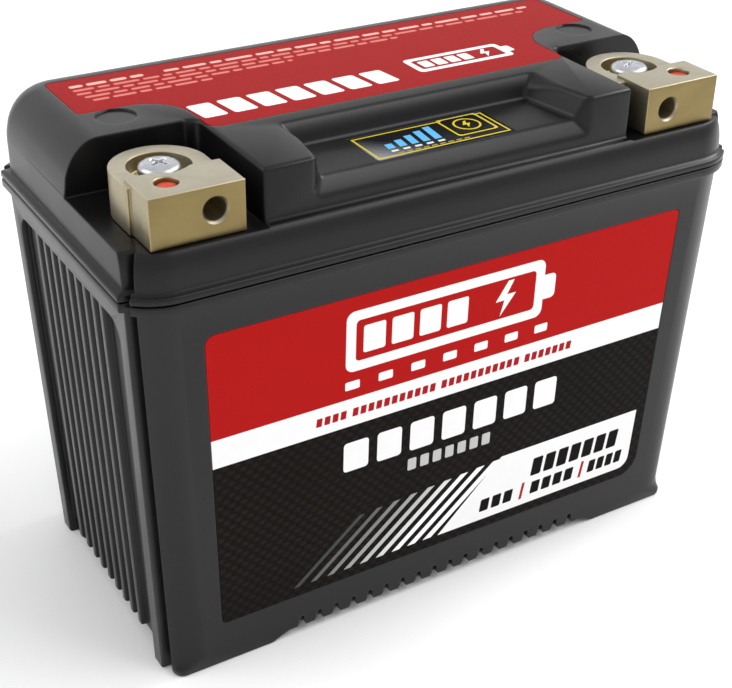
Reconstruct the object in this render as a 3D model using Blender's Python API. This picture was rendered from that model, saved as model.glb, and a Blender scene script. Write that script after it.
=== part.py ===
"""Motorcycle battery, 12 V lithium iron phosphate, built as an assembly.

Frame: metres, +Z up, X along the long side, the labelled face towards -Y.
The origin is the centre of the footprint at the level of the feet.
All the driving dimensions below are in millimetres; MM turns them into metres.
"""
import math

import bmesh
import bpy

MM = 0.001

# ---------------------------------------------------------------- case
HALF_L = 81.0            # half length of the body at the seam
HALF_W = 41.5            # half width of the body at the seam
SEAM_Z = 104.1           # parting line of case and lid
SEAM_GAP = 0.3
DRAFT_X = 1.8 / 60.0     # the walls lean in towards the base
DRAFT_Y = 1.5 / 60.0
FLANGE = 1.5             # flange overhang at the seam
CORNER_R = 12.4          # vertical corner of the front and back walls
CORNER_IN = 10.0         # where that corner starts, from the end wall
GROOVE_OUT = 1.7         # corner groove: step in from the end wall, front side
GROOVE_IN = 3.3          # its floor
BASE_Z = 2.3             # underside between the feet
END_LIFT = 4.6           # lower edge of the ribbed ends
FLOOR_Z = 5.0            # inner floor
WALL_END = 4.6           # end wall thickness, rib panel included
WALL = 2.5               # front and back wall thickness
STRIP = 10.2             # from the front wall to the edge of the ribbed end panel
PANEL_TOP = 96.4
PANEL_R = 5.0
PANEL_DEPTH = 2.0
RIB_COUNT = 9
RIB_PITCH = 5.0
RIB_HALF = 1.15
RIB_LOW = 0.35           # ribs stand this far below the frame
FOOT_X0, FOOT_X1 = 51.0, 46.0
FOOT_IN = 24.0           # the feet start this far from the middle, across
NOTCH_COUNT, NOTCH_PITCH, NOTCH_W, NOTCH_H, NOTCH_DEEP = 18, 4.95, 1.4, 3.0, 1.8

# ---------------------------------------------------------------- lid
LID_TOP = 127.3
LEDGE_Z = 115.0
LEDGE_IN = 2.5           # front shoulder, from the wall to the edge of the ledge
LEDGE_LOW = 106.5        # where that shoulder starts
POCKET_Z = 114.65        # floor of the terminal pockets
BLOCK_IN = 3.9           # front of the raised middle, from the wall
SHOULDER_X = 9.0         # round shoulder at the ends and the back
SHOULDER_Z = 13.0
LID_WALL = 2.5
POCKET_X = 49.0          # inner wall of each terminal pocket
POCKET_Y = -4.9          # back wall of each terminal pocket
POCKET_R = 3.5
RECESS_Z = 121.5         # floor of the display recess
DISC_X, DISC_Y, DISC_R = 64.2, 4.3, 4.7

# ---------------------------------------------------------------- terminals
TERM_X = {1: 62.0, -1: 65.1}   # screw axis on the right and on the left
TERM_Y = -21.0
LOBE_R = 10.75
TERM_TOP = 126.4
LOBE_TOP = 125.4
TERM_BASE = POCKET_Z + 0.2
BLOCK_X0, BLOCK_X1 = 53.6, 75.2
BLOCK_Y0, BLOCK_Y1 = -38.4, -26.3
HEAD_R = 4.65
BOLT_HOLE_R = 2.6
FRONT_HOLE_Z = {1: 120.2, -1: 120.9}

# ---------------------------------------------------------------- cells
CELL_R = 12.95
CELL_PITCH = 26.6
ROW_PITCH = 23.0
CELL_Z0, CELL_Z1 = 10.3, 75.1
NUB = 0.7

for old in list(bpy.data.objects):
    bpy.data.objects.remove(old, do_unlink=True)
bpy.context.scene.unit_settings.scale_length = 1.0
HOME = bpy.context.scene.collection


# ---------------------------------------------------------------- helpers
def material(name, rgb, rough, metal=0.0):
    made = bpy.data.materials.new(name)
    made.use_nodes = True
    shader = made.node_tree.nodes["Principled BSDF"]
    shader.inputs["Base Color"].default_value = (*rgb, 1.0)
    shader.inputs["Roughness"].default_value = rough
    shader.inputs["Metallic"].default_value = metal
    return made


def finish(bm, name, look=None, cutter=False, smooth=None):
    bent = [face for face in bm.faces if len(face.verts) == 4 and twist(face) > 1e-6]
    if bent:
        bmesh.ops.triangulate(bm, faces=bent)
    bmesh.ops.recalc_face_normals(bm, faces=bm.faces)
    mesh = bpy.data.meshes.new(name)
    bm.to_mesh(mesh)
    bm.free()
    if smooth:
        mesh.shade_smooth()
        mesh.set_sharp_from_angle(angle=math.radians(smooth))
    obj = bpy.data.objects.new(name, mesh)
    HOME.objects.link(obj)
    if look:
        mesh.materials.append(look)
    if cutter:
        obj.hide_render = True
        obj.display_type = "WIRE"
    return obj


def twist(face):
    """How far the fourth corner of a quad lies off the plane of the other three."""
    a, b, c, d = (vert.co for vert in face.verts)
    normal = (b - a).cross(c - a)
    return abs((d - a).dot(normal.normalized())) if normal.length > 1e-12 else 0.0


def loft_bm(rings, bm=None):
    """Closed solid through rings of equal length; both ends are capped."""
    bm = bm or bmesh.new()
    rows = [[bm.verts.new((x * MM, y * MM, z * MM)) for x, y, z in ring] for ring in rings]
    count = len(rows[0])
    for low, high in zip(rows, rows[1:]):
        for i in range(count):
            j = (i + 1) % count
            bm.faces.new((low[i], low[j], high[j], high[i]))
    bm.faces.new(list(reversed(rows[0])))
    bm.faces.new(rows[-1])
    return bm


def prism_bm(outline, z0, z1, bm=None):
    return loft_bm([[(x, y, z0) for x, y in outline], [(x, y, z1) for x, y in outline]], bm)


def box_bm(low, high, bm=None):
    (x0, y0, z0), (x1, y1, z1) = low, high
    return prism_bm([(x0, y0), (x1, y0), (x1, y1), (x0, y1)], z0, z1, bm)


def circle(cx, cy, r, n, start=0.0):
    return [
        (cx + r * math.cos(start + 2 * math.pi * k / n), cy + r * math.sin(start + 2 * math.pi * k / n))
        for k in range(n)
    ]


def turned_bm(cx, cy, profile, n, bm=None):
    """A turned solid: profile is (radius, z) from the bottom up, never on the axis."""
    return loft_bm([[(x, y, z) for x, y in circle(cx, cy, r, n)] for r, z in profile], bm)


def rounded(x0, y0, x1, y1, r, n=3):
    """Rounded rectangle, counter-clockwise; r may be one number or four (SW, SE, NE, NW)."""
    radii = r if isinstance(r, (tuple, list)) else (r,) * 4
    corners = ((x0, y0, 180), (x1, y0, 270), (x1, y1, 0), (x0, y1, 90))
    points = []
    for (cx, cy, start), radius in zip(corners, radii):
        mx = cx + radius if cx == x0 else cx - radius
        my = cy + radius if cy == y0 else cy - radius
        for k in range(n + 1):
            t = math.radians(start + 90 * k / n)
            points.append((mx + radius * math.cos(t), my + radius * math.sin(t)))
    return points


def cut(target, tool, operation="DIFFERENCE"):
    made = target.modifiers.new(f"{operation.lower()}_{tool.name}", "BOOLEAN")
    made.operation = operation
    made.solver = "EXACT"
    made.object = tool
    return made


def tool(bm, name):
    return finish(bm, name, cutter=True)


# ---------------------------------------------------------------- looks
BLACK = material("black_polypropylene", (0.035, 0.036, 0.038), 0.42)
RED_PRINT = material("red_print", (0.48, 0.021, 0.021), 0.35)
OVERLAY_INK = material("overlay_ink", (0.02, 0.02, 0.02), 0.25)
KEY_INK = material("key_ink", (0.55, 0.47, 0.05), 0.3)
GLASS_BLUE = material("display_face", (0.05, 0.12, 0.2), 0.15)
BOARD = material("circuit_board", (0.02, 0.14, 0.06), 0.45)
SWITCH = material("switch_plastic", (0.03, 0.03, 0.03), 0.4)
PLUNGER = material("switch_plunger", (0.5, 0.5, 0.48), 0.4)
SLEEVE = material("cell_sleeve", (0.05, 0.12, 0.32), 0.35)
HOLDER = material("holder_plastic", (0.06, 0.06, 0.065), 0.5)
NICKEL = material("nickel_plate", (0.6, 0.58, 0.54), 0.32, 1.0)
BRASS = material("brass", (0.58, 0.44, 0.21), 0.34, 1.0)
ZINC = material("zinc_steel", (0.62, 0.63, 0.66), 0.28, 1.0)
COPPER = material("copper", (0.72, 0.36, 0.2), 0.3, 1.0)
FOAM = material("foam", (0.08, 0.08, 0.085), 0.95)
WIRE_RED = material("wire_red", (0.45, 0.02, 0.02), 0.45)
WIRE_BLACK = material("wire_black", (0.02, 0.02, 0.02), 0.45)
RED_CAP = material("red_cap", (0.55, 0.06, 0.02), 0.4)


# ---------------------------------------------------------------- body outline
def half_x(z):
    return HALF_L - DRAFT_X * max(0.0, SEAM_Z - z)


def half_y(z):
    return HALF_W - DRAFT_Y * max(0.0, SEAM_Z - z)


def corner(a, b, inset, groove, n, off=0.0, square=False):
    """One vertical corner in the quadrant x>0, y>0, from the end wall round to the long wall.

    a, b are the half sizes there, off of which is the overhang of the flange; inset pulls
    the round in; groove is 1 with the moulded groove between the end frame and the wrap,
    0 without it. square gives the tighter corner of the feet.
    """
    cx, cy = a - off - CORNER_IN, b - off - CORNER_R
    r = CORNER_R + off - inset
    last = math.acos((CORNER_IN + off - GROOVE_OUT) / (CORNER_R + off))
    start = (cx + r * math.cos(last), cy + r * math.sin(last))
    lip = b - 5.5 - 0.5 * off - 0.75 * inset
    if groove:
        floor_x = a - GROOVE_IN - 0.5 * inset
        points = [(a, lip - 0.5), (a - 0.5, lip), (floor_x, lip + 0.5), (floor_x, lip + 1.3), start]
    else:
        points = []
        for k in range(5):
            t = last * 0.85 * k / 4
            points.append((a - 0.02 * k, lip - 0.5 + (start[1] - lip + 0.5) * k / 4))
            points[-1] = (a + (start[0] - a) * (k / 4) ** 2, points[-1][1])
    for k in range(1, n + 1):
        t = last + (math.pi / 2 - last) * k / n
        if square:
            t = math.pi / 2 * (k - 1) / (n - 1)
            points.append((start[0] - 2.6 + 2.6 * math.cos(t), b - 2.6 + 2.6 * math.sin(t)))
        else:
            points.append((cx + r * math.cos(t), cy + r * math.sin(t)))
    return points


def mirror_round(quadrants):
    """Four quadrant lists (x>0,y>0 first) into one counter-clockwise ring."""
    ne, nw, sw, se = quadrants
    ring = list(ne)
    ring += [(-x, y) for x, y in reversed(nw)]
    ring += [(-x, -y) for x, y in sw]
    ring += [(x, -y) for x, y in reversed(se)]
    return ring


def panel(a, z):
    """End panel points from y<0 to y>0 at x = a, with the recess and its ribs at height z."""
    depth, edge = 0.0, half_y(z) - STRIP
    if z <= PANEL_TOP:
        depth = PANEL_DEPTH
        rise = z - (PANEL_TOP - PANEL_R)
        if rise > 0:
            edge -= PANEL_R - math.sqrt(max(0.0, PANEL_R**2 - rise**2))
            depth = PANEL_DEPTH * (1.0 - (rise / PANEL_R) ** 6)
    low = min(RIB_LOW, depth)
    points = [(a, -edge), (a - depth, -edge + 0.6 * min(1.0, depth) + 0.01)]
    for k in range(RIB_COUNT):
        y = (k - (RIB_COUNT - 1) / 2) * RIB_PITCH
        points += [
            (a - depth, y - RIB_HALF - 0.25),
            (a - low, y - RIB_HALF),
            (a - low, y + RIB_HALF),
            (a - depth, y + RIB_HALF + 0.25),
        ]
    points += [(a - depth, edge - 0.6 * min(1.0, depth) - 0.01), (a, edge)]
    return points


def case_ring(z, off=0.0, inset=0.0, n=4, ribs=True, square=False):
    a, b = half_x(z) + off - inset, half_y(z) + off - inset
    quad = corner(a, b, 0.0, 1, n, off, square)
    ne, nw, sw, se = quad, quad, quad, quad
    right = panel(a, z) if ribs else []
    # start on the right end panel, from y<0 to y>0, then round the ring
    ring = list(right)
    ring += ne
    ring += [(-x, y) for x, y in reversed(nw)]
    ring += [(-x, y) for x, y in reversed(right)]
    ring += [(-x, -y) for x, y in sw]
    ring += [(x, -y) for x, y in reversed(se)]
    return [(x, y, z) for x, y in ring]


def build_lower_case():
    top = SEAM_Z - SEAM_GAP / 2
    rings = [
        case_ring(0.0, inset=0.4, square=True),
        case_ring(0.45, square=True),
        case_ring(1.8, square=True),
        case_ring(4.0),
        case_ring(PANEL_TOP - PANEL_R),
        case_ring(PANEL_TOP - PANEL_R * 0.5),
        case_ring(PANEL_TOP - PANEL_R * 0.15),
        case_ring(PANEL_TOP + 0.3),
        case_ring(top - 2.1),
        case_ring(top - 1.7, off=FLANGE - 0.2),
        case_ring(top - 1.3, off=FLANGE),
        case_ring(top - 0.4, off=FLANGE),
        case_ring(top, off=FLANGE - 0.4),
    ]
    case = finish(loft_bm(rings), "lower_case", BLACK)

    # open cavity
    def cavity(z):
        a, b = half_x(z) - WALL_END, half_y(z) - WALL
        return [(x, y, z) for x, y in rounded(-a, -b, a, b, 7.0, 4)]

    cut(case, tool(loft_bm([cavity(FLOOR_Z), cavity(SEAM_Z), [(x, y, SEAM_Z + 2) for x, y, _ in cavity(SEAM_Z)]]), "tool_case_cavity"))

    # the underside stands clear of the ground between the feet at the four corners
    between = bmesh.new()
    section = [(-FOOT_X0 - 2.2, -1.0), (FOOT_X0 + 2.2, -1.0), (FOOT_X1, BASE_Z), (-FOOT_X1, BASE_Z)]
    loft_bm([[(x, -50.0, z) for x, z in section], [(x, 50.0, z) for x, z in section]], between)
    cut(case, tool(between, "tool_between_feet"))
    across = box_bm((-90.0, -FOOT_IN, -1.0), (90.0, FOOT_IN, BASE_Z + 0.02))
    cut(case, tool(across, "tool_across_feet"))

    # grip notches along the lower edge, front and back, wider at their mouth
    notches = bmesh.new()
    for k in range(NOTCH_COUNT):
        x = (k - (NOTCH_COUNT - 1) / 2) * NOTCH_PITCH
        w, top_z = NOTCH_W / 2, BASE_Z + NOTCH_H
        section = [(x - w - 0.6, BASE_Z - 1), (x + w + 0.6, BASE_Z - 1), (x + w, BASE_Z + 0.9), (x + w, top_z - 0.4), (x + w * 0.4, top_z),
                   (x - w * 0.4, top_z), (x - w, top_z - 0.4), (x - w, BASE_Z + 0.9)]
        deep = half_y(BASE_Z + NOTCH_H) - NOTCH_DEEP
        loft_bm([[(px, -50.0, pz) for px, pz in section], [(px, -deep, pz) for px, pz in section]], notches)
        loft_bm([[(px, deep, pz) for px, pz in section], [(px, 50.0, pz) for px, pz in section]], notches)
    cut(case, tool(notches, "tool_grip_notches"))

    # the ribbed ends stop short of the underside
    relief = bmesh.new()
    for side in (1, -1):
        xs = sorted((side * 75.6, side * 90.0))
        box_bm((xs[0], -28.6, -5.0), (xs[1], 28.6, END_LIFT), relief)
    cut(case, tool(relief, "tool_end_relief"))

    # shallow seat for the label on the front wall
    cut(case, tool(label_slab(-0.5, 1.5, grow=0.2), "tool_label_seat"))
    return case


# ---------------------------------------------------------------- front label
LABEL_Z0, LABEL_Z1 = 12.6, 93.8
LABEL_X = 64.93          # half width at z = 60
LABEL_LEAN = 1.41 / 60.0
LABEL_T = 0.3


def label_outline(grow=0.0):
    """Label outline as (x, z) with its rounded corners, leaning with the wall's draft."""
    flat = rounded(-LABEL_X - grow, LABEL_Z0 - grow, LABEL_X + grow, LABEL_Z1 + grow, (1.5, 6.0, 1.5, 2.5), 4)
    return [(x * (1 + LABEL_LEAN * (z - 60.0) / LABEL_X), z) for x, z in flat]


def front_y(z):
    return -half_y(z)


def label_slab(inner, outer, grow=0.0):
    """Slab that follows the leaning front wall, from inner to outer distance off it."""
    outline = label_outline(grow)
    back = [(x, front_y(z) - inner, z) for x, z in outline]
    front = [(x, front_y(z) - outer, z) for x, z in outline]
    return loft_bm([front, back])


# ---------------------------------------------------------------- lid
def shoulder(z):
    """Inset of the ends and the back at height z."""
    t = (z - (LID_TOP - SHOULDER_Z)) / SHOULDER_Z
    return SHOULDER_X * (1.0 - math.sqrt(max(0.0, 1.0 - t * t))) if t > 0 else 0.0


def front_inset(z):
    t = (z - LEDGE_LOW) / (LEDGE_Z - LEDGE_LOW)
    if t <= 0:
        return 0.0
    return LEDGE_IN * (1.0 - math.sqrt(max(0.0, 1.0 - min(1.0, t) ** 2)))


def plain_corner(a, b, n):
    """Plain rounded corner with as many points as corner() gives."""
    r = 10.0 - 0.6 * (HALF_L - a)
    points = []
    for k in range(n + 5):
        t = math.pi / 2 * k / (n + 4)
        points.append((a - r + r * math.cos(t), b - r + r * math.sin(t)))
    return points


def lid_ring(z, off=0.0, n=4, raised=False, front_z=None):
    """One section of the lid; raised is the part above the ledge, whose front may lie lower."""
    s = shoulder(z)
    a, back = HALF_L + off - s, HALF_W + off - s
    if raised:
        front = plain_corner(a, HALF_W - BLOCK_IN, n)
    else:
        front = corner(HALF_L + off, HALF_W + off, front_inset(z), 1, n, off)
    rear = corner(a, back, 0.0, 1, n, off) if off > 0.6 else plain_corner(a, back, n)
    low = z if front_z is None else front_z
    return [(x, y, z if y > 0 else low) for x, y in mirror_round((rear, rear, front, front))]


def lid_rings(n=4):
    base = SEAM_Z + SEAM_GAP / 2
    rings = [
        lid_ring(base, FLANGE - 0.4, n),
        lid_ring(base + 0.35, FLANGE, n),
        lid_ring(base + 1.2, FLANGE, n),
        lid_ring(base + 1.6, FLANGE - 0.4, n),
        lid_ring(base + 1.75, 0.3, n),
    ]
    for share in (0.0, 0.4, 0.7, 0.88, 0.97, 1.0):
        rings.append(lid_ring(LEDGE_LOW + (LEDGE_Z - LEDGE_LOW) * math.sin(share * math.pi / 2), 0.0, n))
    rings.append(lid_ring(LEDGE_Z + 1.5, 0.0, n, True, LEDGE_Z))
    for share in (0.35, 0.6, 0.78, 0.9, 0.97, 1.0):
        rings.append(lid_ring(LID_TOP - SHOULDER_Z + SHOULDER_Z * math.sin(share * math.pi / 2), 0.0, n, True))
    return rings


def pocket_outline(side, grow=0.0):
    """Plan of a terminal pocket, open to the end and the front."""
    r = POCKET_R
    x0, y1 = POCKET_X - grow, POCKET_Y + grow
    points = [(x0, -60.0), (100.0, -60.0), (100.0, y1)]
    for k in range(5):
        t = math.radians(90 + 90 * k / 4)
        points.append((x0 + r + r * math.cos(t), y1 - r + r * math.sin(t)))
    return points if side > 0 else [(-x, y) for x, y in reversed(points)]


def recess_tool_bm(grow=0.0):
    """Display recess: flat floor, steep back wall under a broad chamfer, a ramp at the front."""
    rim = LID_TOP + 3.0
    profile = [
        (-46.0, 117.9, 37.1),
        (-37.6, 117.9, 37.1),
        (-34.8, RECESS_Z, 34.2),
        (-18.4, RECESS_Z, 31.8),
        (-18.2, 124.45, 32.4),
        (-16.9, LID_TOP, 35.0),
        (-16.9, rim, 35.0),
        (-37.6, rim, 37.1),
        (-46.0, rim, 37.1),
    ]
    bm = bmesh.new()
    left = [bm.verts.new((-x * MM, y * MM, z * MM)) for y, z, x in profile]
    right = [bm.verts.new((x * MM, y * MM, z * MM)) for y, z, x in profile]
    count = len(profile)
    for i in range(count):
        j = (i + 1) % count
        bm.faces.new((left[i], left[j], right[j], right[i]))
    fans = ((0, 1, 7), (0, 7, 8), (1, 2, 7), (2, 3, 7), (3, 4, 7), (4, 5, 7), (5, 6, 7))
    for side in (left, right):
        for i, j, k in fans:
            bm.faces.new((side[i], side[j], side[k]))
    return bm


TOP_LABEL_X, TOP_LABEL_BACK = 71.3, 31.2
TOP_LABEL_FRONT = -12.2


def top_label_outline(grow=0.0, n=6):
    """Half-outline mirrored: a straight front edge, then an arc round each terminal corner."""
    g = grow
    half = [(46.4 + g, TOP_LABEL_FRONT - g), (48.5 + g, TOP_LABEL_FRONT + 2.0 - g)]
    for k in range(n + 1):
        t = math.pi - math.pi / 2 * k / n
        r = 11.4 - g
        half.append((60.0 + r * math.cos(t), -2.2 + r * math.sin(t)))
    half += [(TOP_LABEL_X + g, 9.9 - g), (TOP_LABEL_X + g, TOP_LABEL_BACK + g)]
    return half + [(-x, y) for x, y in reversed(half)]


OVERLAY = (-19.0, -33.9, 17.6, -20.3)
KEY = (5.3, -30.0, 14.9, -21.0)
WINDOW = (-16.8, -30.6, 1.0, -22.4)
PLUNGER_XY = ((KEY[0] + KEY[2]) / 2, (KEY[1] + KEY[3]) / 2)
TRAVEL = 0.4


def build_lid():
    lid = finish(loft_bm(lid_rings()), "lid", BLACK)
    # tongue that plugs into the case
    a, b = HALF_L - WALL_END - 0.4, HALF_W - WALL - 0.4
    cut(lid, tool(prism_bm(rounded(-a, -b, a, b, 6.6, 4), 99.6, SEAM_Z + 1.0), "tool_tongue"), "UNION")

    # hollow inside, kept clear of the pockets, the recess and the insert bosses
    def hollow_ring(z):
        if z < 106.2:
            a, b = HALF_L - WALL_END - 2.2, HALF_W - WALL - 2.2
            return [(x, y, z) for x, y in rounded(-a, -b, a, b, 5.0, 3)]
        s = shoulder(z + LID_WALL) + LID_WALL
        f = front_inset(z + 1.0) + LID_WALL + 0.6
        return [(x, y, z) for x, y in rounded(-(HALF_L - s - 2.0), -(HALF_W - f), HALF_L - s - 2.0, HALF_W - s, 4.0, 3)]

    hollow = tool(loft_bm([hollow_ring(z) for z in (99.0, 106.1, 107.6, 112.0, 116.0, 120.0, 123.0, LID_TOP - LID_WALL)]), "tool_lid_hollow")
    keep = bmesh.new()
    for side in (1, -1):
        prism_bm(pocket_outline(side, LID_WALL), POCKET_Z - LID_WALL, 140.0, keep)
    cut(hollow, tool(keep, "tool_keep_pockets"))
    keep2 = box_bm((-40.2, -60.0, RECESS_Z - 2.4), (40.2, -14.4, 140.0))
    cut(hollow, tool(keep2, "tool_keep_recess"))
    keep3 = box_bm((-40.2, -60.0, 115.2), (40.2, -33.0, 140.0))
    cut(hollow, tool(keep3, "tool_keep_ramp"))
    for side, word in ((1, "right"), (-1, "left")):
        boss = prism_bm(circle(side * TERM_X[side], TERM_Y, 8.2, 16), 101.5, 120.0)
        cut(hollow, tool(boss, f"tool_boss_{word}"))
    cut(lid, hollow)

    for side, word in ((1, "right"), (-1, "left")):
        cut(lid, tool(prism_bm(pocket_outline(side), POCKET_Z, 140.0), f"tool_pocket_{word}"))
    cut(lid, tool(recess_tool_bm(), "tool_recess"))
    for side, word in ((1, "right"), (-1, "left")):
        cut(lid, tool(prism_bm(circle(side * TERM_X[side], TERM_Y, 5.6, 16), 98.0, 130.0), f"tool_insert_bore_{word}"))
        cut(lid, tool(prism_bm(circle(side * DISC_X, DISC_Y, DISC_R, 16), LID_TOP - 0.4, 130.0), f"tool_disc_{word}"))
    cut(lid, tool(prism_bm(top_label_outline(0.2), LID_TOP - 0.5, 130.0), "tool_top_label_seat"))
    x0, y0, x1, y1 = OVERLAY
    cut(lid, tool(box_bm((x0 - 0.25, y0 - 0.25, RECESS_Z - 0.7), (x1 + 0.25, y1 + 0.25, RECESS_Z + 2.5)), "tool_overlay_seat"))
    kx0, ky0, kx1, ky1 = KEY
    cut(lid, tool(box_bm((kx0 - 0.4, ky0 - 0.4, RECESS_Z - 1.3), (kx1 + 0.4, ky1 + 0.4, RECESS_Z + 1.0)), "tool_key_well"))
    cut(lid, tool(prism_bm(circle(*PLUNGER_XY, 2.6, 16), RECESS_Z - 4.0, RECESS_Z), "tool_plunger_hole"))
    wx0, wy0, wx1, wy1 = WINDOW
    cut(lid, tool(box_bm((wx0, wy0, RECESS_Z - 4.0), (wx1, wy1, RECESS_Z)), "tool_display_window"))
    return lid


# ---------------------------------------------------------------- terminals
def build_terminal(side, word):
    x_in, x_out = side * BLOCK_X0, side * BLOCK_X1
    block = finish(
        box_bm((min(x_in, x_out), BLOCK_Y0, TERM_BASE), (max(x_in, x_out), BLOCK_Y1, TERM_TOP)),
        f"{word}_terminal_block",
        BRASS,
    )
    cx = side * TERM_X[side]
    outline = [(cx - LOBE_R, BLOCK_Y1 - 3.0), (cx + LOBE_R, BLOCK_Y1 - 3.0)]
    for k in range(17):
        t = math.pi * k / 16
        outline.append((cx + LOBE_R * math.cos(t), TERM_Y + LOBE_R * math.sin(t)))
    cut(block, tool(prism_bm(outline, TERM_BASE, LOBE_TOP), f"tool_lobe_{word}"), "UNION")
    bores = prism_bm(circle(cx, TERM_Y, 7.0, 24), 122.0, 130.0)
    cut(block, tool(bores, f"tool_counterbore_{word}"))
    cut(block, tool(prism_bm(circle(cx, TERM_Y, 3.4, 16), 100.0, 130.0), f"tool_screw_bore_{word}"))
    cut(block, tool(prism_bm(circle(side * 68.3, -32.0, BOLT_HOLE_R, 16), 117.0, 130.0), f"tool_top_hole_{word}"))
    hole = bmesh.new()
    ring = circle(side * 60.4, FRONT_HOLE_Z[side], BOLT_HOLE_R, 16)
    loft_bm([[(x, -45.0, z) for x, z in ring], [(x, -28.6, z) for x, z in ring]], hole)
    cut(block, tool(hole, f"tool_front_hole_{word}"))

    cap = turned_bm(side * 68.3, -32.0, [(BOLT_HOLE_R - 0.3, 117.4), (BOLT_HOLE_R - 0.3, 124.6), (1.6, 125.0)], 14)
    finish(cap, f"{word}_thread_cap", RED_CAP, smooth=40)

    insert = finish(turned_bm(cx, TERM_Y, [(4.9, 102.0), (5.3, 102.6), (5.3, 114.5)], 16), f"{word}_terminal_insert", BRASS)
    cut(insert, tool(prism_bm(circle(cx, TERM_Y, 3.3, 12), 90.0, 130.0), f"tool_insert_thread_{word}"))

    washer = finish(turned_bm(cx, TERM_Y, [(4.7, 122.3), (4.7, 123.3)], 20), f"{word}_spring_washer", ZINC)
    cut(washer, tool(prism_bm(circle(cx, TERM_Y, 3.3, 16), 110.0, 130.0), f"tool_washer_bore_{word}"))
    split = box_bm((cx - 0.35, TERM_Y, 120.0), (cx + 0.35, TERM_Y + 8.0, 126.0))
    cut(washer, tool(split, f"tool_washer_split_{word}"))

    profile = [(2.6, 101.6), (3.0, 102.2), (3.0, 123.6), (4.5, 123.6), (HEAD_R, 123.9), (HEAD_R, 125.0), (4.2, 125.7), (3.0, 126.15)]
    screw = finish(turned_bm(cx, TERM_Y, profile, 20), f"{word}_terminal_screw", ZINC, smooth=40)
    cross = box_bm((cx - 2.3, TERM_Y - 0.55, 124.4), (cx + 2.3, TERM_Y + 0.55, 128.0))
    cut(screw, tool(cross, f"tool_cross_a_{word}"))
    cross = box_bm((cx - 0.55, TERM_Y - 2.3, 124.4), (cx + 0.55, TERM_Y + 2.3, 128.0))
    cut(screw, tool(cross, f"tool_cross_b_{word}"))


# ---------------------------------------------------------------- cells and their plates
def cell_sites():
    """(x, y, group) of the twelve cells: three staggered rows of four, four groups of three."""
    sites = []
    for group in range(4):
        outer_x = (group - 1.5) * CELL_PITCH - CELL_PITCH / 4
        sites.append((outer_x, -ROW_PITCH, group))
        sites.append((outer_x + CELL_PITCH / 2, 0.0, group))
        sites.append((outer_x, ROW_PITCH, group))
    return sites


def build_cells():
    for number, (x, y, group) in enumerate(cell_sites(), 1):
        profile = [(12.2, 0.0), (CELL_R, 0.6), (CELL_R, 64.2), (12.0, 64.8), (4.6, 64.8), (4.4, 64.8 + NUB)]
        if group % 2 == 0:          # these stand with their flat end up
            profile = [(r, 64.8 - z) for r, z in reversed(profile)]
        cell = finish(turned_bm(0.0, 0.0, profile, 20), f"cell_{number:02d}", SLEEVE, smooth=40)
        cell.location = (x * MM, y * MM, CELL_Z0 * MM)


def chevron(first, last, reach=12.0):
    """Outline over groups first..last: bent to follow the staggered rows."""
    left = (first - 1.5) * CELL_PITCH - CELL_PITCH / 4 - reach
    right = (last - 1.5) * CELL_PITCH - CELL_PITCH / 4 + reach
    bend = CELL_PITCH / 2
    y = ROW_PITCH + 8.0
    return [(left, -y), (right, -y), (right, -ROW_PITCH + 4), (right + bend, -4.0), (right + bend, 4.0), (right, ROW_PITCH - 4),
            (right, y), (left, y), (left, ROW_PITCH - 4), (left + bend, 4.0), (left + bend, -4.0), (left, -ROW_PITCH + 4)]


PLATE_TOP_Z = (76.2, 76.7)
PLATE_LOW_Z = (8.9, 9.4)


def build_plates():
    finish(prism_bm(chevron(0, 0), *PLATE_TOP_Z), "negative_end_plate", NICKEL)
    finish(prism_bm(chevron(1, 2), *PLATE_TOP_Z), "series_link_2", NICKEL)
    finish(prism_bm(chevron(3, 3), *PLATE_TOP_Z), "positive_end_plate", NICKEL)
    finish(prism_bm(chevron(0, 1), *PLATE_LOW_Z), "series_link_1", NICKEL)
    finish(prism_bm(chevron(2, 3), *PLATE_LOW_Z), "series_link_3", NICKEL)


HOLDER_X, HOLDER_Y = 63.5, 35.0
BOSSES = [(sx * 61.4, sy * 10.0) for sx in (1, -1) for sy in (1, -1)]


def build_holder(name, z0, z1, bosses):
    outline = rounded(-HOLDER_X, -HOLDER_Y, HOLDER_X, HOLDER_Y, 4.0, 2)
    holder = finish(prism_bm(outline, z0, z1), name, HOLDER)
    if bosses:
        posts = bmesh.new()
        for x, y in BOSSES:
            prism_bm(circle(x, y, 1.9, 8), z1 - 1.0, 81.6, posts)
        cut(holder, tool(posts, "tool_board_bosses"), "UNION")
        holes = bmesh.new()
        for x, y in BOSSES:
            prism_bm(circle(x, y, 1.1, 8), 75.5, 85.0, holes)
        cut(holder, tool(holes, "tool_boss_holes"))
    for k in range(3):
        bores = bmesh.new()
        for x, y, _ in cell_sites():
            if round(y / ROW_PITCH) == k - 1:
                prism_bm(circle(x, y, CELL_R + 0.2, 20), z0 - 2, z1 + 2, bores)
        cut(holder, tool(bores, f"tool_{name}_row_{k}"))


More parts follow.
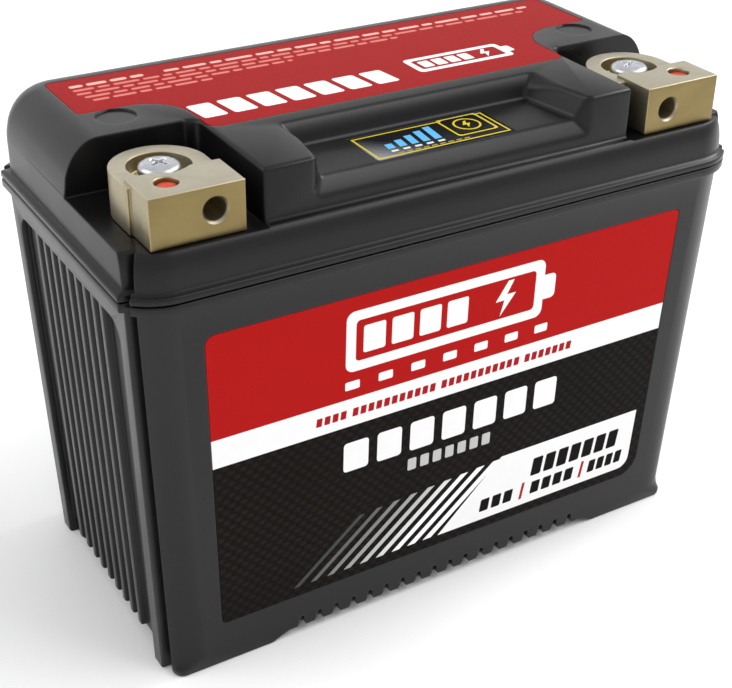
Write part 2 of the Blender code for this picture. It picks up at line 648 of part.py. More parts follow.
def build_boards():
    # management board: board, heat spreader, capacitors and the sense connector in one
    board = finish(prism_bm(rounded(-64.6, -17.0, 64.6, 17.0, 2.0, 2), 82.0, 83.6), "management_board", BOARD)
    parts = bmesh.new()
    for k in range(6):
        box_bm((-34.0 + 11.0 * k, -4.0, 83.0), (-27.0 + 11.0 * k, 6.0, 85.4), parts)
    box_bm((34.0, 6.0, 83.0), (48.0, 12.0, 88.0), parts)
    prism_bm(circle(-47.0, 4.0, 4.0, 12), 83.0, 90.0, parts)
    box_bm((-12.0, -14.0, 83.0), (4.0, -8.5, 87.0), parts)
    cut(board, tool(parts, "tool_board_parts"), "UNION")
    holes = bmesh.new()
    for x, y in BOSSES:
        prism_bm(circle(x, y, 1.3, 8), 80.0, 86.0, holes)
    cut(board, tool(holes, "tool_board_holes"))
    for number, (x, y) in enumerate(BOSSES, 1):
        finish(turned_bm(x, y, [(0.6, 77.0), (0.8, 77.8), (0.8, 83.9), (2.1, 83.9), (2.1, 84.7), (1.4, 85.3)], 10), f"board_screw_{number}", ZINC, smooth=40)

    # indicator board under the display recess, with its display and its switch
    finish(prism_bm(rounded(-24.0, -31.9, 22.0, -18.6, 1.0, 2), 113.2, 114.8), "indicator_board", BOARD)
    wx0, wy0, wx1, wy1 = WINDOW
    finish(box_bm((wx0 + 0.4, wy0 + 0.4, 115.1), (wx1 - 0.4, wy1 - 0.4, RECESS_Z - 1.0)), "charge_display", GLASS_BLUE)
    x, y = PLUNGER_XY
    body = finish(box_bm((x - 3.0, y - 3.0, 115.1), (x + 3.0, y + 3.0, 118.6)), "tact_switch_body", SWITCH)
    cut(body, tool(prism_bm(circle(x, y, 2.0, 16), 116.6, 125.0), "tool_switch_bore"))


# ---------------------------------------------------------------- straps, foam, wires
def strap(name, side, plate_x):
    """Copper strap: flat on the end plate, up the end of the pack, flat again under the insert."""
    t, w = 0.8, 4.0
    y0 = TERM_Y - w
    y1 = TERM_Y + w
    profile = [
        (plate_x, 77.05), (66.9 + t, 77.05), (66.9 + t, 100.4 + t), (56.6, 100.4 + t), (56.6, 100.4), (66.9, 100.4), (66.9, 77.05 + t), (plate_x, 77.05 + t),
    ]
    front = [(side * x, y0, z) for x, z in profile]
    back = [(side * x, y1, z) for x, z in profile]
    made = finish(loft_bm([front, back]), name, COPPER)
    return made


def wire(name, look, points, radius):
    curve = bpy.data.curves.new(name, "CURVE")
    curve.dimensions = "3D"
    curve.bevel_depth = radius * MM
    curve.bevel_resolution = 2
    curve.use_fill_caps = True
    spline = curve.splines.new("POLY")
    dense = smooth_route(points)
    spline.points.add(len(dense) - 1)
    for point, (x, y, z) in zip(spline.points, dense):
        point.co = (x * MM, y * MM, z * MM, 1.0)
    curve.materials.append(look)
    obj = bpy.data.objects.new(name, curve)
    HOME.objects.link(obj)
    return obj


def smooth_route(points, steps=3):
    """Catmull-Rom points through the route."""
    padded = [points[0]] + list(points) + [points[-1]]
    found = []
    for i in range(1, len(padded) - 2):
        p0, p1, p2, p3 = padded[i - 1 : i + 3]
        for k in range(steps):
            t = k / steps
            found.append(tuple(
                0.5 * (2 * b + (c - a) * t + (2 * a - 5 * b + 4 * c - d) * t * t + (3 * b - a - 3 * c + d) * t**3)
                for a, b, c, d in zip(p0, p1, p2, p3)
            ))
    found.append(points[-1])
    return found


def build_soft_parts():
    finish(box_bm((-66.0, -30.0, 5.3), (66.0, 30.0, 8.2)), "base_foam_pad", FOAM)
    for side, word in ((1, "right"), (-1, "left")):
        xs = sorted((side * 69.4, side * 73.2))
        finish(box_bm((xs[0], -30.0, 14.0), (xs[1], 30.0, 66.0)), f"{word}_foam_pad", FOAM)
    finish(box_bm((-44.0, -10.0, 90.4), (44.0, 24.0, 99.0)), "top_foam_pad", FOAM)

    # five sense wires, one for each level of the string, and the lead to the indicator
    wire("sense_wire_1", WIRE_BLACK, [(-48.0, -24.0, 77.3), (-47.0, -24.5, 79.5), (-38.0, -24.5, 84.0), (-24.0, -22.0, 87.0), (-13.0, -17.0, 86.5), (-9.0, -15.0, 85.6)], 0.6)
    wire("sense_wire_2", WIRE_RED, [(-59.0, 24.0, 9.2), (-63.0, 26.0, 9.6), (-67.2, 28.0, 12.0), (-67.8, 29.0, 30.0), (-67.8, 29.0, 60.0), (-67.6, 28.0, 80.0), (-60.0, 24.5, 88.0), (-30.0, 21.0, 88.6), (-9.6, 8.0, 88.6), (-6.5, -4.0, 88.6), (-6.0, -11.0, 87.8)], 0.6)
    wire("sense_wire_3", WIRE_RED, [(2.0, -24.0, 77.3), (2.0, -24.5, 79.5), (1.0, -23.5, 84.0), (-2.0, -19.0, 86.8), (-3.0, -15.0, 85.6)], 0.6)
    wire("sense_wire_4", WIRE_RED, [(45.8, 24.0, 9.2), (60.0, 27.0, 9.4), (67.2, 28.0, 12.0), (67.8, 29.0, 30.0), (67.8, 29.0, 60.0), (67.6, 28.0, 80.0), (60.0, 24.5, 88.0), (30.0, 18.0, 88.6), (8.0, 6.0, 88.6), (1.0, -4.0, 88.6), (-0.5, -11.0, 87.8)], 0.6)
    wire("sense_wire_5", WIRE_RED, [(44.0, -24.0, 77.3), (43.0, -24.5, 79.5), (34.0, -24.5, 84.0), (18.0, -22.0, 87.0), (6.0, -17.0, 86.5), (2.6, -15.0, 85.6)], 0.6)
    wire("indicator_lead", WIRE_BLACK, [(46.6, 9.0, 89.2), (47.2, 8.6, 91.5), (48.2, 2.0, 95.0), (47.5, -14.0, 99.0), (36.0, -20.0, 105.0), (22.0, -23.0, 108.5), (18.0, -24.0, 111.0), (18.0, -24.0, 112.3)], 1.0)


# ---------------------------------------------------------------- assembly
build_lower_case()
build_lid()
finish(label_slab(-0.3, 0.0), "front_label", RED_PRINT)
finish(prism_bm(top_label_outline(), LID_TOP - LABEL_T, LID_TOP), "top_label", RED_PRINT)

overlay = finish(box_bm((OVERLAY[0], OVERLAY[1], RECESS_Z - 0.4), (OVERLAY[2], OVERLAY[3], RECESS_Z)), "indicator_overlay", OVERLAY_INK)
cut(overlay, tool(box_bm((KEY[0] - 0.3, KEY[1] - 0.3, 119.0), (KEY[2] + 0.3, KEY[3] + 0.3, 124.0)), "tool_key_window"))

key = finish(
    prism_bm([(x - PLUNGER_XY[0], y - PLUNGER_XY[1]) for x, y in rounded(*KEY, 1.0, 3)], -0.25, 0.25),
    "test_button", KEY_INK,
)
key.location = (PLUNGER_XY[0] * MM, PLUNGER_XY[1] * MM, (RECESS_Z - 0.15) * MM)
plunger = finish(turned_bm(0.0, 0.0, [(1.7, -3.2), (1.7, -0.2), (1.5, 0.0)], 16), "tact_switch_plunger", PLUNGER, smooth=40)
plunger.location = (PLUNGER_XY[0] * MM, PLUNGER_XY[1] * MM, (RECESS_Z - 0.7) * MM)

build_terminal(1, "positive")
build_terminal(-1, "negative")
build_cells()
build_plates()
build_holder("lower_cell_holder", 12.0, 18.0, False)
build_holder("upper_cell_holder", 68.0, 74.4, True)
build_boards()
strap("positive_strap", 1, 46.0)
strap("negative_strap", -1, 50.0)
build_soft_parts()
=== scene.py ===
"""Looks of the 12 V motorcycle battery: fine meshes, printed labels, materials, camera and light.

Metres, +Z up, X along the long side, the labelled face towards -Y. Lengths below are in
millimetres and MM turns them into metres.
"""
import math

import bmesh
import bpy
from mathutils import Matrix, Vector
from mathutils.geometry import delaunay_2d_cdt


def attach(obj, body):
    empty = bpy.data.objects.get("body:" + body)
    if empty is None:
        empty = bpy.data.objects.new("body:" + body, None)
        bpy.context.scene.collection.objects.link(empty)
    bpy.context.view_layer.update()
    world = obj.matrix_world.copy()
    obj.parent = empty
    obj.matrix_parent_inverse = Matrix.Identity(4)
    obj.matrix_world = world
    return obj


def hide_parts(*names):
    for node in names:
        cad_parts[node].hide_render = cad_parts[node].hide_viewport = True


MM = 0.001
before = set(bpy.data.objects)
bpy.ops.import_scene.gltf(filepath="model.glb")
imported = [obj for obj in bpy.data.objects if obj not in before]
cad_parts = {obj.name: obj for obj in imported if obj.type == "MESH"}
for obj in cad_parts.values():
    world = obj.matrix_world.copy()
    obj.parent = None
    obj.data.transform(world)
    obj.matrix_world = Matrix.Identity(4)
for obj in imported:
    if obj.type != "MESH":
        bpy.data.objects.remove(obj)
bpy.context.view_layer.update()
HOME = bpy.context.scene.collection

# the same driving dimensions as the CAD model
HALF_L, HALF_W, SEAM_Z, SEAM_GAP = 81.0, 41.5, 104.1, 0.3
DRAFT_X, DRAFT_Y = 1.8 / 60.0, 1.5 / 60.0
FLANGE = 1.5
CORNER_R, CORNER_IN, GROOVE_OUT, GROOVE_IN = 12.4, 10.0, 1.7, 3.3
BASE_Z, END_LIFT, FLOOR_Z = 2.3, 4.6, 5.0
WALL_END, WALL = 4.6, 2.5
STRIP, PANEL_TOP, PANEL_R, PANEL_DEPTH = 10.2, 96.4, 5.0, 2.0
RIB_COUNT, RIB_PITCH, RIB_HALF, RIB_LOW = 9, 5.0, 1.15, 0.35
FOOT_X0, FOOT_X1 = 51.0, 46.0
FOOT_IN = 24.0
NOTCH_COUNT, NOTCH_PITCH, NOTCH_W, NOTCH_H, NOTCH_DEEP = 18, 4.95, 1.4, 3.0, 1.8
LID_TOP, LEDGE_Z, LEDGE_IN, LEDGE_LOW, POCKET_Z, BLOCK_IN = 127.3, 115.0, 2.5, 106.5, 114.65, 3.9
SHOULDER_X, SHOULDER_Z, LID_WALL = 9.0, 13.0, 2.5
POCKET_X, POCKET_Y, POCKET_R, RECESS_Z = 49.0, -4.9, 3.5, 121.5
DISC_X, DISC_Y, DISC_R = 64.2, 4.3, 4.7
TERM_X, TERM_Y, LOBE_R, TERM_TOP, LOBE_TOP = {1: 62.0, -1: 65.1}, -21.0, 10.75, 126.4, 125.4
TERM_BASE = POCKET_Z + 0.2
BLOCK_X0, BLOCK_X1, BLOCK_Y0, BLOCK_Y1 = 53.6, 75.2, -38.4, -26.3
HEAD_R, BOLT_HOLE_R = 4.65, 2.6
FRONT_HOLE_Z = {1: 120.2, -1: 120.9}
LABEL_Z0, LABEL_Z1, LABEL_X, LABEL_LEAN, LABEL_T = 12.6, 93.8, 64.93, 1.41 / 60.0, 0.3
OVERLAY = (-19.0, -33.9, 17.6, -20.3)
KEY = (5.3, -30.0, 14.9, -21.0)
TOP_LABEL_X, TOP_LABEL_BACK, TOP_LABEL_FRONT = 71.3, 31.2, -12.2


# ---------------------------------------------------------------- node graphs
class Graph:
    """Small helper that wires a material's nodes."""

    def __init__(self, name, rough=0.5, metal=0.0, coat=0.0, coat_rough=0.1, specular=0.5):
        self.material = bpy.data.materials.new(name)
        self.material.use_nodes = True
        self.tree = self.material.node_tree
        self.shader = self.tree.nodes["Principled BSDF"]
        self.shader.inputs["Roughness"].default_value = rough
        self.shader.inputs["Metallic"].default_value = metal
        self.shader.inputs["Coat Weight"].default_value = coat
        self.shader.inputs["Coat Roughness"].default_value = coat_rough
        self.shader.inputs["Specular IOR Level"].default_value = specular
        self.where = self.tree.nodes.new("ShaderNodeTexCoord").outputs["Object"]

    def node(self, kind, **values):
        made = self.tree.nodes.new("ShaderNode" + kind)
        for key, value in values.items():
            setattr(made, key, value)
        return made

    def link(self, source, target):
        self.tree.links.new(source, target)

    def feed(self, socket, value):
        if isinstance(value, (int, float)):
            socket.default_value = value
        elif isinstance(value, tuple):
            socket.default_value = (*value, 1.0) if len(value) == 3 else value
        else:
            self.link(value, socket)

    def math(self, operation, a, b=0.0, c=0.0, clamp=False):
        made = self.node("Math", operation=operation, use_clamp=clamp)
        for socket, value in zip(made.inputs, (a, b, c)):
            self.feed(socket, value)
        return made.outputs[0]

    def noise(self, scale, detail=3.0, rough=0.55, vector=None, stretch=None, distortion=0.0):
        made = self.node("TexNoise")
        made.inputs["Scale"].default_value = scale
        made.inputs["Detail"].default_value = detail
        made.inputs["Roughness"].default_value = rough
        made.inputs["Distortion"].default_value = distortion
        source = vector or self.where
        if stretch:
            mapping = self.node("Mapping")
            mapping.inputs["Scale"].default_value = stretch
            self.link(source, mapping.inputs["Vector"])
            source = mapping.outputs[0]
        self.link(source, made.inputs["Vector"])
        return made.outputs["Fac"]

    def voronoi(self, scale, feature="F1"):
        made = self.node("TexVoronoi", feature=feature)
        made.inputs["Scale"].default_value = scale
        self.link(self.where, made.inputs["Vector"])
        return made.outputs["Distance"]

    def span(self, value, low, high, to_low=0.0, to_high=1.0):
        made = self.node("MapRange")
        made.clamp = True
        self.feed(made.inputs[0], value)
        for index, number in enumerate((low, high, to_low, to_high), 1):
            made.inputs[index].default_value = number
        return made.outputs[0]

    def mix(self, share, a, b, blend="MIX"):
        made = self.node("Mix", data_type="RGBA", blend_type=blend)
        self.feed(made.inputs[0], share)
        self.feed(made.inputs[6], a)
        self.feed(made.inputs[7], b)
        return made.outputs[2]

    def split(self, vector=None):
        made = self.node("SeparateXYZ")
        self.link(vector or self.where, made.inputs[0])
        return made.outputs

    def attribute(self, name):
        return self.node("Attribute", attribute_name=name)

    def bump(self, height, distance, strength=1.0, normal=None):
        made = self.node("Bump")
        made.inputs["Strength"].default_value = strength
        made.inputs["Distance"].default_value = distance * MM
        self.link(height, made.inputs["Height"])
        if normal is not None:
            self.link(normal, made.inputs["Normal"])
        return made.outputs[0]

    def edge(self, radius):
        """Rounded normals at sharp edges, and how near an edge each point is."""
        made = self.node("Bevel", samples=6)
        made.inputs["Radius"].default_value = radius * MM
        plain = self.node("NewGeometry")
        dot = self.node("VectorMath", operation="DOT_PRODUCT")
        self.link(made.outputs[0], dot.inputs[0])
        self.link(plain.outputs["Normal"], dot.inputs[1])
        near = self.span(dot.outputs["Value"], 0.995, 0.90)
        return made.outputs[0], near

    def colour(self, value):
        self.feed(self.shader.inputs["Base Color"], value)

    def rough(self, value):
        self.feed(self.shader.inputs["Roughness"], value)

    def normal(self, value):
        self.link(value, self.shader.inputs["Normal"])


def srgb(r, g, b):
    def one(v):
        v /= 255.0
        return v / 12.92 if v <= 0.04045 else ((v + 0.055) / 1.055) ** 2.4

    return (one(r), one(g), one(b))


def moulded_plastic(name, tone, rough=0.42, edge=0.45, grain=0.02, lighter=1.5, gloss=0.42):
    g = Graph(name, rough=rough, specular=gloss)
    normal, near = g.edge(edge)
    fine = g.noise(1900.0, 4.0, 0.6)
    broad = g.noise(45.0, 3.0, 0.5)
    cells = g.voronoi(2600.0)
    shade = g.span(broad, 0.3, 0.7, 0.0, 1.0)
    base = g.mix(shade, tuple(c * 0.92 for c in tone), tuple(c * 1.08 for c in tone))
    # painted highlight: the colour is lightened (by lighter) near sharp edges, where the rounded edges catch the light
    edge_highlight_colour = g.mix(g.math("MULTIPLY", near, 0.45), base, tuple(min(1.0, c * lighter) for c in tone))
    g.colour(edge_highlight_colour)
    g.rough(g.math("ADD", g.span(broad, 0.25, 0.75, rough - 0.03, rough + 0.04), g.math("MULTIPLY", fine, 0.03)))
    height = g.math("ADD", g.math("MULTIPLY", fine, 0.6), g.math("MULTIPLY", cells, 0.7))
    g.normal(g.bump(height, grain, 0.55, normal))
    return g.material


CASE_PLASTIC = moulded_plastic("case_black", srgb(14, 14, 16), 0.30, 0.5, 0.012, 2.5, 0.33)
LID_PLASTIC = moulded_plastic("lid_black", srgb(13, 13, 15), 0.29, 0.6, 0.012, 2.5, 0.30)
HOLDER_PLASTIC = moulded_plastic("holder_grey", srgb(70, 70, 74), 0.5, 0.3, 0.02)
SWITCH_PLASTIC = moulded_plastic("switch_black", srgb(40, 40, 42), 0.4, 0.15, 0.01)
PLUNGER_PLASTIC = moulded_plastic("plunger_ivory", srgb(196, 190, 172), 0.4, 0.15, 0.01, 1.15)


def brass_material():
    """Machined brass: the upright front faces are yellow, the faces that look up or sideways are painted paler as
    painted light, and sharp edges carry a painted highlight.
    """
    g = Graph("brass_machined", rough=0.42, metal=1.0)
    normal, near = g.edge(0.35)
    brushed = g.noise(260.0, 4.0, 0.6, stretch=(0.5, 6.0, 9.0))
    broad = g.noise(60.0, 3.0, 0.5)
    stain = g.noise(180.0, 4.0, 0.6)
    # painted light: the more a face looks up or sideways, the more it takes the pale tone instead of the yellow one,
    # lit and shaded copies of the same brass
    facing = g.split(g.node("NewGeometry").outputs["Normal"])
    up = g.span(facing[2], 0.35, 0.85)
    aside = g.span(g.math("ABSOLUTE", facing[0]), 0.4, 0.9, 0.0, 0.6)
    pale = g.math("MAXIMUM", up, aside)
    yellow = g.mix(g.span(broad, 0.3, 0.7), srgb(133, 117, 77), srgb(144, 128, 87))
    lit_face_tone = g.mix(g.span(broad, 0.3, 0.7), srgb(182, 175, 156), srgb(193, 186, 167))
    base = g.mix(pale, yellow, lit_face_tone)
    base = g.mix(g.span(stain, 0.56, 0.76, 0.0, 0.22), base, srgb(140, 118, 72))
    # painted highlight: a pale cream near sharp edges, where the rounded edges catch the light
    base = g.mix(g.math("MULTIPLY", near, 0.6), base, srgb(236, 222, 186))
    g.colour(base)
    g.rough(g.span(brushed, 0.25, 0.75, 0.36, 0.52))
    g.normal(g.bump(brushed, 0.012, 0.4, normal))
    return g.material


def zinc_material(name="zinc_plated", tone=srgb(205, 207, 212), rough=0.24):
    g = Graph(name, rough=rough, metal=1.0)
    normal, near = g.edge(0.18)
    fine = g.noise(900.0, 4.0, 0.6)
    broad = g.noise(220.0, 3.0, 0.5)
    base = g.mix(g.span(broad, 0.3, 0.72), tone, tuple(c * 0.78 for c in tone))
    # painted highlight: near-white near sharp edges, where the rounded edges catch the light
    g.colour(g.mix(g.math("MULTIPLY", near, 0.6), base, (0.92, 0.93, 0.95)))
    g.rough(g.span(fine, 0.3, 0.7, rough - 0.04, rough + 0.12))
    g.normal(g.bump(fine, 0.01, 0.5, normal))
    return g.material


def copper_material():
    g = Graph("copper_strip", rough=0.3, metal=1.0)
    normal, near = g.edge(0.2)
    brushed = g.noise(300.0, 4.0, 0.6, stretch=(8.0, 0.6, 1.0))
    base = g.mix(g.span(brushed, 0.3, 0.7), srgb(196, 124, 92), srgb(222, 152, 118))
    # painted highlight: a pale pink near sharp edges, where the rounded edges catch the light
    g.colour(g.mix(g.math("MULTIPLY", near, 0.5), base, srgb(245, 190, 160)))
    g.rough(g.span(brushed, 0.3, 0.7, 0.24, 0.4))
    g.normal(g.bump(brushed, 0.01, 0.4, normal))
    return g.material


def nickel_material():
    g = Graph("nickel_strip", rough=0.3, metal=1.0)
    brushed = g.noise(320.0, 4.0, 0.6, stretch=(0.6, 8.0, 1.0))
    spots = g.voronoi(260.0)
    base = g.mix(g.span(brushed, 0.3, 0.7), srgb(186, 184, 176), srgb(212, 210, 202))
    g.colour(g.mix(g.span(spots, 0.10, 0.02, 0.0, 0.5), base, srgb(130, 122, 112)))
    g.rough(g.span(brushed, 0.3, 0.7, 0.24, 0.42))
    g.normal(g.bump(brushed, 0.01, 0.5))
    return g.material


def board_material():
    g = Graph("board_green", rough=0.4, coat=0.3, coat_rough=0.15)
    traces = g.node("TexBrick")
    traces.inputs["Scale"].default_value = 160.0
    traces.inputs["Mortar Size"].default_value = 0.045
    traces.inputs["Color1"].default_value = (*srgb(18, 78, 46), 1.0)
    traces.inputs["Color2"].default_value = (*srgb(14, 66, 38), 1.0)
    traces.inputs["Mortar"].default_value = (*srgb(40, 118, 70), 1.0)
    g.link(g.where, traces.inputs["Vector"])
    height = g.split()[2]
    high = g.math("GREATER_THAN", height, 83.75 * MM)
    parts = g.mix(g.noise(700.0), srgb(24, 24, 26), srgb(48, 48, 52))
    raised = g.math("MULTIPLY", high, g.math("LESS_THAN", height, 100.0 * MM))
    g.colour(g.mix(raised, traces.outputs["Color"], parts))
    g.rough(g.span(g.noise(400.0), 0.3, 0.7, 0.3, 0.5))
    g.normal(g.bump(traces.outputs["Fac"], 0.03, 0.6))
    return g.material


def sleeve_material():
    g = Graph("cell_sleeve_blue", rough=0.32)
    normal, near = g.edge(0.4)
    height = g.split()[2]
    wrinkle = g.noise(90.0, 3.0, 0.5, stretch=(3.0, 3.0, 0.4))
    base = g.mix(g.span(wrinkle, 0.35, 0.7), srgb(30, 74, 150), srgb(42, 92, 172))
    cap = g.math("GREATER_THAN", height, 74.6 * MM)
    foot = g.math("LESS_THAN", height, 10.8 * MM)
    bare = g.math("MAXIMUM", cap, foot)
    g.colour(g.mix(bare, base, srgb(176, 176, 172)))
    g.rough(g.span(wrinkle, 0.3, 0.7, 0.26, 0.4))
    g.feed(g.shader.inputs["Metallic"], bare)
    g.normal(g.bump(wrinkle, 0.15, 0.4, normal))
    return g.material


def foam_material():
    g = Graph("foam_charcoal", rough=0.95, specular=0.2)
    pores = g.voronoi(620.0)
    fine = g.noise(1500.0, 4.0)
    g.colour(g.mix(g.span(pores, 0.1, 0.55), srgb(22, 22, 24), srgb(58, 58, 62)))
    g.normal(g.bump(g.math("ADD", pores, g.math("MULTIPLY", fine, 0.3)), 0.5, 0.9))
    return g.material


def wire_material(name, tone):
    g = Graph(name, rough=0.42)
    fine = g.noise(1300.0, 3.0)
    broad = g.noise(160.0, 2.0)
    g.colour(g.mix(g.span(broad, 0.3, 0.7), tuple(c * 0.85 for c in tone), tuple(min(1.0, c * 1.15) for c in tone)))
    g.rough(g.span(fine, 0.3, 0.7, 0.34, 0.52))
    g.normal(g.bump(fine, 0.02, 0.4))
    return g.material


def cap_material():
    g = Graph("red_cap_gloss", rough=0.4, specular=0.3)
    normal, near = g.edge(0.3)
    broad = g.noise(260.0, 3.0)
    base = g.mix(g.span(broad, 0.3, 0.7), srgb(176, 44, 16), srgb(200, 60, 22))
    # painted highlight: a lighter orange near sharp edges, where the rounded edges catch the light
    g.colour(g.mix(g.math("MULTIPLY", near, 0.4), base, srgb(214, 90, 50)))
    g.rough(g.span(g.noise(900.0), 0.3, 0.7, 0.24, 0.4))
    g.normal(g.bump(g.noise(1200.0), 0.01, 0.4, normal))
    return g.material


def display_material():
    g = Graph("display_glass", rough=0.12, coat=0.6, coat_rough=0.05)
    place = g.split()
    columns = g.math("FRACT", g.math("MULTIPLY", place[0], 420.0))
    lit = g.math("MULTIPLY", g.math("GREATER_THAN", columns, 0.35), g.span(place[1], -0.0305, -0.023, 0.2, 1.0))
    g.colour(g.mix(lit, srgb(14, 22, 32), srgb(52, 140, 190)))
    g.rough(g.span(g.noise(600.0), 0.3, 0.7, 0.08, 0.18))
    return g.material


BRASS = brass_material()
ZINC = zinc_material()
COPPER = copper_material()
NICKEL = nickel_material()
BOARD = board_material()
SLEEVE = sleeve_material()
FOAM = foam_material()
WIRE_RED = wire_material("wire_red_pvc", srgb(178, 30, 28))
WIRE_BLACK = wire_material("wire_black_pvc", srgb(34, 34, 36))
CAP = cap_material()
DISPLAY = display_material()


def print_material(name, rough, film=0.25, edge=0.15):
    """Printed film: the ink colour is stored on the mesh, with woven black where weave is 1."""
    g = Graph(name, rough=rough, coat=film, coat_rough=0.18, specular=0.03)
    ink = g.attribute("ink").outputs["Color"]
    weave_area = g.attribute("weave").outputs["Fac"]
    place = g.split()
    # twill: two sets of tows that pass over each other in steps
    u = g.math("MULTIPLY", place[0], 1.0 / (3.1 * MM))
    v = g.math("MULTIPLY", place[2], 1.0 / (3.1 * MM))
    row = g.math("FLOOR", g.math("MULTIPLY", v, 2.0))
    shifted = g.math("ADD", u, g.math("MULTIPLY", row, 0.5))
    across = g.math("SUBTRACT", g.math("FRACT", shifted), 0.5)
    up = g.math("SUBTRACT", g.math("FRACT", g.math("MULTIPLY", v, 2.0)), 0.5)
    reach = g.math("SQRT", g.math("ADD", g.math("POWER", g.math("ABSOLUTE", across), 2.0), g.math("POWER", g.math("MULTIPLY", g.math("ABSOLUTE", up), 0.62), 2.0)))
    dot = g.span(reach, 0.42, 0.10)
    fibre = g.noise(900.0, 3.0, 0.6, stretch=(1.0, 1.0, 5.0))
    glint = g.math("MULTIPLY", dot, g.span(fibre, 0.25, 0.75, 0.6, 1.2))
    patch = g.noise(26.0, 2.0, 0.5)
    woven = g.mix(g.math("MULTIPLY", glint, g.span(patch, 0.3, 0.7, 0.7, 1.2)), srgb(20, 17, 15), srgb(34, 31, 28))
    mottled = g.mix(g.span(g.noise(340.0, 3.0), 0.3, 0.7, 0.0, 0.025), ink, (0.0, 0.0, 0.0))
    g.colour(g.mix(weave_area, mottled, woven))
    fine = g.noise(1500.0, 3.0)
    g.rough(g.math("ADD", g.span(fine, 0.3, 0.7, rough - 0.04, rough + 0.05), g.math("MULTIPLY", weave_area, 0.05)))
    relief = g.math("ADD", g.math("MULTIPLY", fine, 0.35), g.math("MULTIPLY", g.math("MULTIPLY", dot, weave_area), 0.5))
    g.normal(g.bump(relief, 0.02, 0.35))
    return g.material


LABEL_FILM = print_material("label_film", 0.38, 0.0)
OVERLAY_FILM = print_material("overlay_film", 0.25, 0.0)


# ---------------------------------------------------------------- mesh helpers
def twist(face):
    a, b, c, d = (vert.co for vert in face.verts)
    normal = (b - a).cross(c - a)
    return abs((d - a).dot(normal.normalized())) if normal.length > 1e-12 else 0.0


def finish(bm, name, look=None, cutter=False, smooth=None):
    bent = [face for face in bm.faces if len(face.verts) == 4 and twist(face) > 1e-6]
    if bent:
        bmesh.ops.triangulate(bm, faces=bent)
    bmesh.ops.recalc_face_normals(bm, faces=bm.faces)
    mesh = bpy.data.meshes.new(name)
    bm.to_mesh(mesh)
    bm.free()
    obj = bpy.data.objects.new(name, mesh)
    HOME.objects.link(obj)
    if look:
        mesh.materials.append(look)
    if smooth:
        mesh.shade_smooth()
        mesh.set_sharp_from_angle(angle=math.radians(smooth))
    return obj


def loft_bm(rings, bm=None):
    bm = bm or bmesh.new()
    rows = [[bm.verts.new((x * MM, y * MM, z * MM)) for x, y, z in ring] for ring in rings]
    count = len(rows[0])
    for low, high in zip(rows, rows[1:]):
        for i in range(count):
            j = (i + 1) % count
            bm.faces.new((low[i], low[j], high[j], high[i]))
    bm.faces.new(list(reversed(rows[0])))
    bm.faces.new(rows[-1])
    return bm


def prism_bm(outline, z0, z1, bm=None):
    return loft_bm([[(x, y, z0) for x, y in outline], [(x, y, z1) for x, y in outline]], bm)


def box_bm(low, high, bm=None):
    (x0, y0, z0), (x1, y1, z1) = low, high
    return prism_bm([(x0, y0), (x1, y0), (x1, y1), (x0, y1)], z0, z1, bm)


def circle(cx, cy, r, n, start=0.0):
    return [
        (cx + r * math.cos(start + 2 * math.pi * k / n), cy + r * math.sin(start + 2 * math.pi * k / n))
        for k in range(n)
    ]


def turned_bm(cx, cy, profile, n, bm=None):
    return loft_bm([[(x, y, z) for x, y in circle(cx, cy, r, n)] for r, z in profile], bm)


def rounded(x0, y0, x1, y1, r, n=3):
    radii = r if isinstance(r, (tuple, list)) else (r,) * 4
    corners = ((x0, y0, 180), (x1, y0, 270), (x1, y1, 0), (x0, y1, 90))
    points = []
    for (cx, cy, start), radius in zip(corners, radii):
        mx = cx + radius if cx == x0 else cx - radius
        my = cy + radius if cy == y0 else cy - radius
        for k in range(n + 1):
            t = math.radians(start + 90 * k / n)
            points.append((mx + radius * math.cos(t), my + radius * math.sin(t)))
    return points


def boolean(target, cutters):
    """Applies (operation, bmesh) cutters in order, so that only the finished mesh is left."""
    made = []
    for number, (operation, bm) in enumerate(cutters):
        tool = finish(bm, f"{target.name}_tool_{number}")
        modifier = target.modifiers.new(f"b{number}", "BOOLEAN")
        modifier.operation = operation
        modifier.solver = "EXACT"
        modifier.object = tool
        made.append(tool)
    bake(target)
    for tool in made:
        bpy.data.objects.remove(tool, do_unlink=True)


def bake(obj):
    """Replaces the mesh by its evaluated form."""
    bpy.context.view_layer.update()
    graph = bpy.context.evaluated_depsgraph_get()
    mesh = bpy.data.meshes.new_from_object(obj.evaluated_get(graph))
    mesh.name = obj.name + "_mesh"
    obj.modifiers.clear()
    obj.data = mesh


def soften(obj, width, segments=2, angle=30.0, smooth=35.0):
    """Welds, merges flat faces and bevels the sharp edges of a finished mesh."""
    bm = bmesh.new()
    bm.from_mesh(obj.data)
    bmesh.ops.remove_doubles(bm, verts=bm.verts, dist=0.004 * MM)
    bmesh.ops.dissolve_limit(bm, angle_limit=math.radians(0.6), verts=bm.verts, edges=bm.edges)
    bm.to_mesh(obj.data)
    bm.free()
    if width:
        modifier = obj.modifiers.new("soft_edges", "BEVEL")
        modifier.width = width * MM
        modifier.segments = segments
        modifier.limit_method = "ANGLE"
        modifier.angle_limit = math.radians(angle)
        modifier.use_clamp_overlap = True
        modifier.miter_outer = "MITER_ARC"
        bake(obj)
    obj.data.shade_smooth()
    obj.data.set_sharp_from_angle(angle=math.radians(smooth))


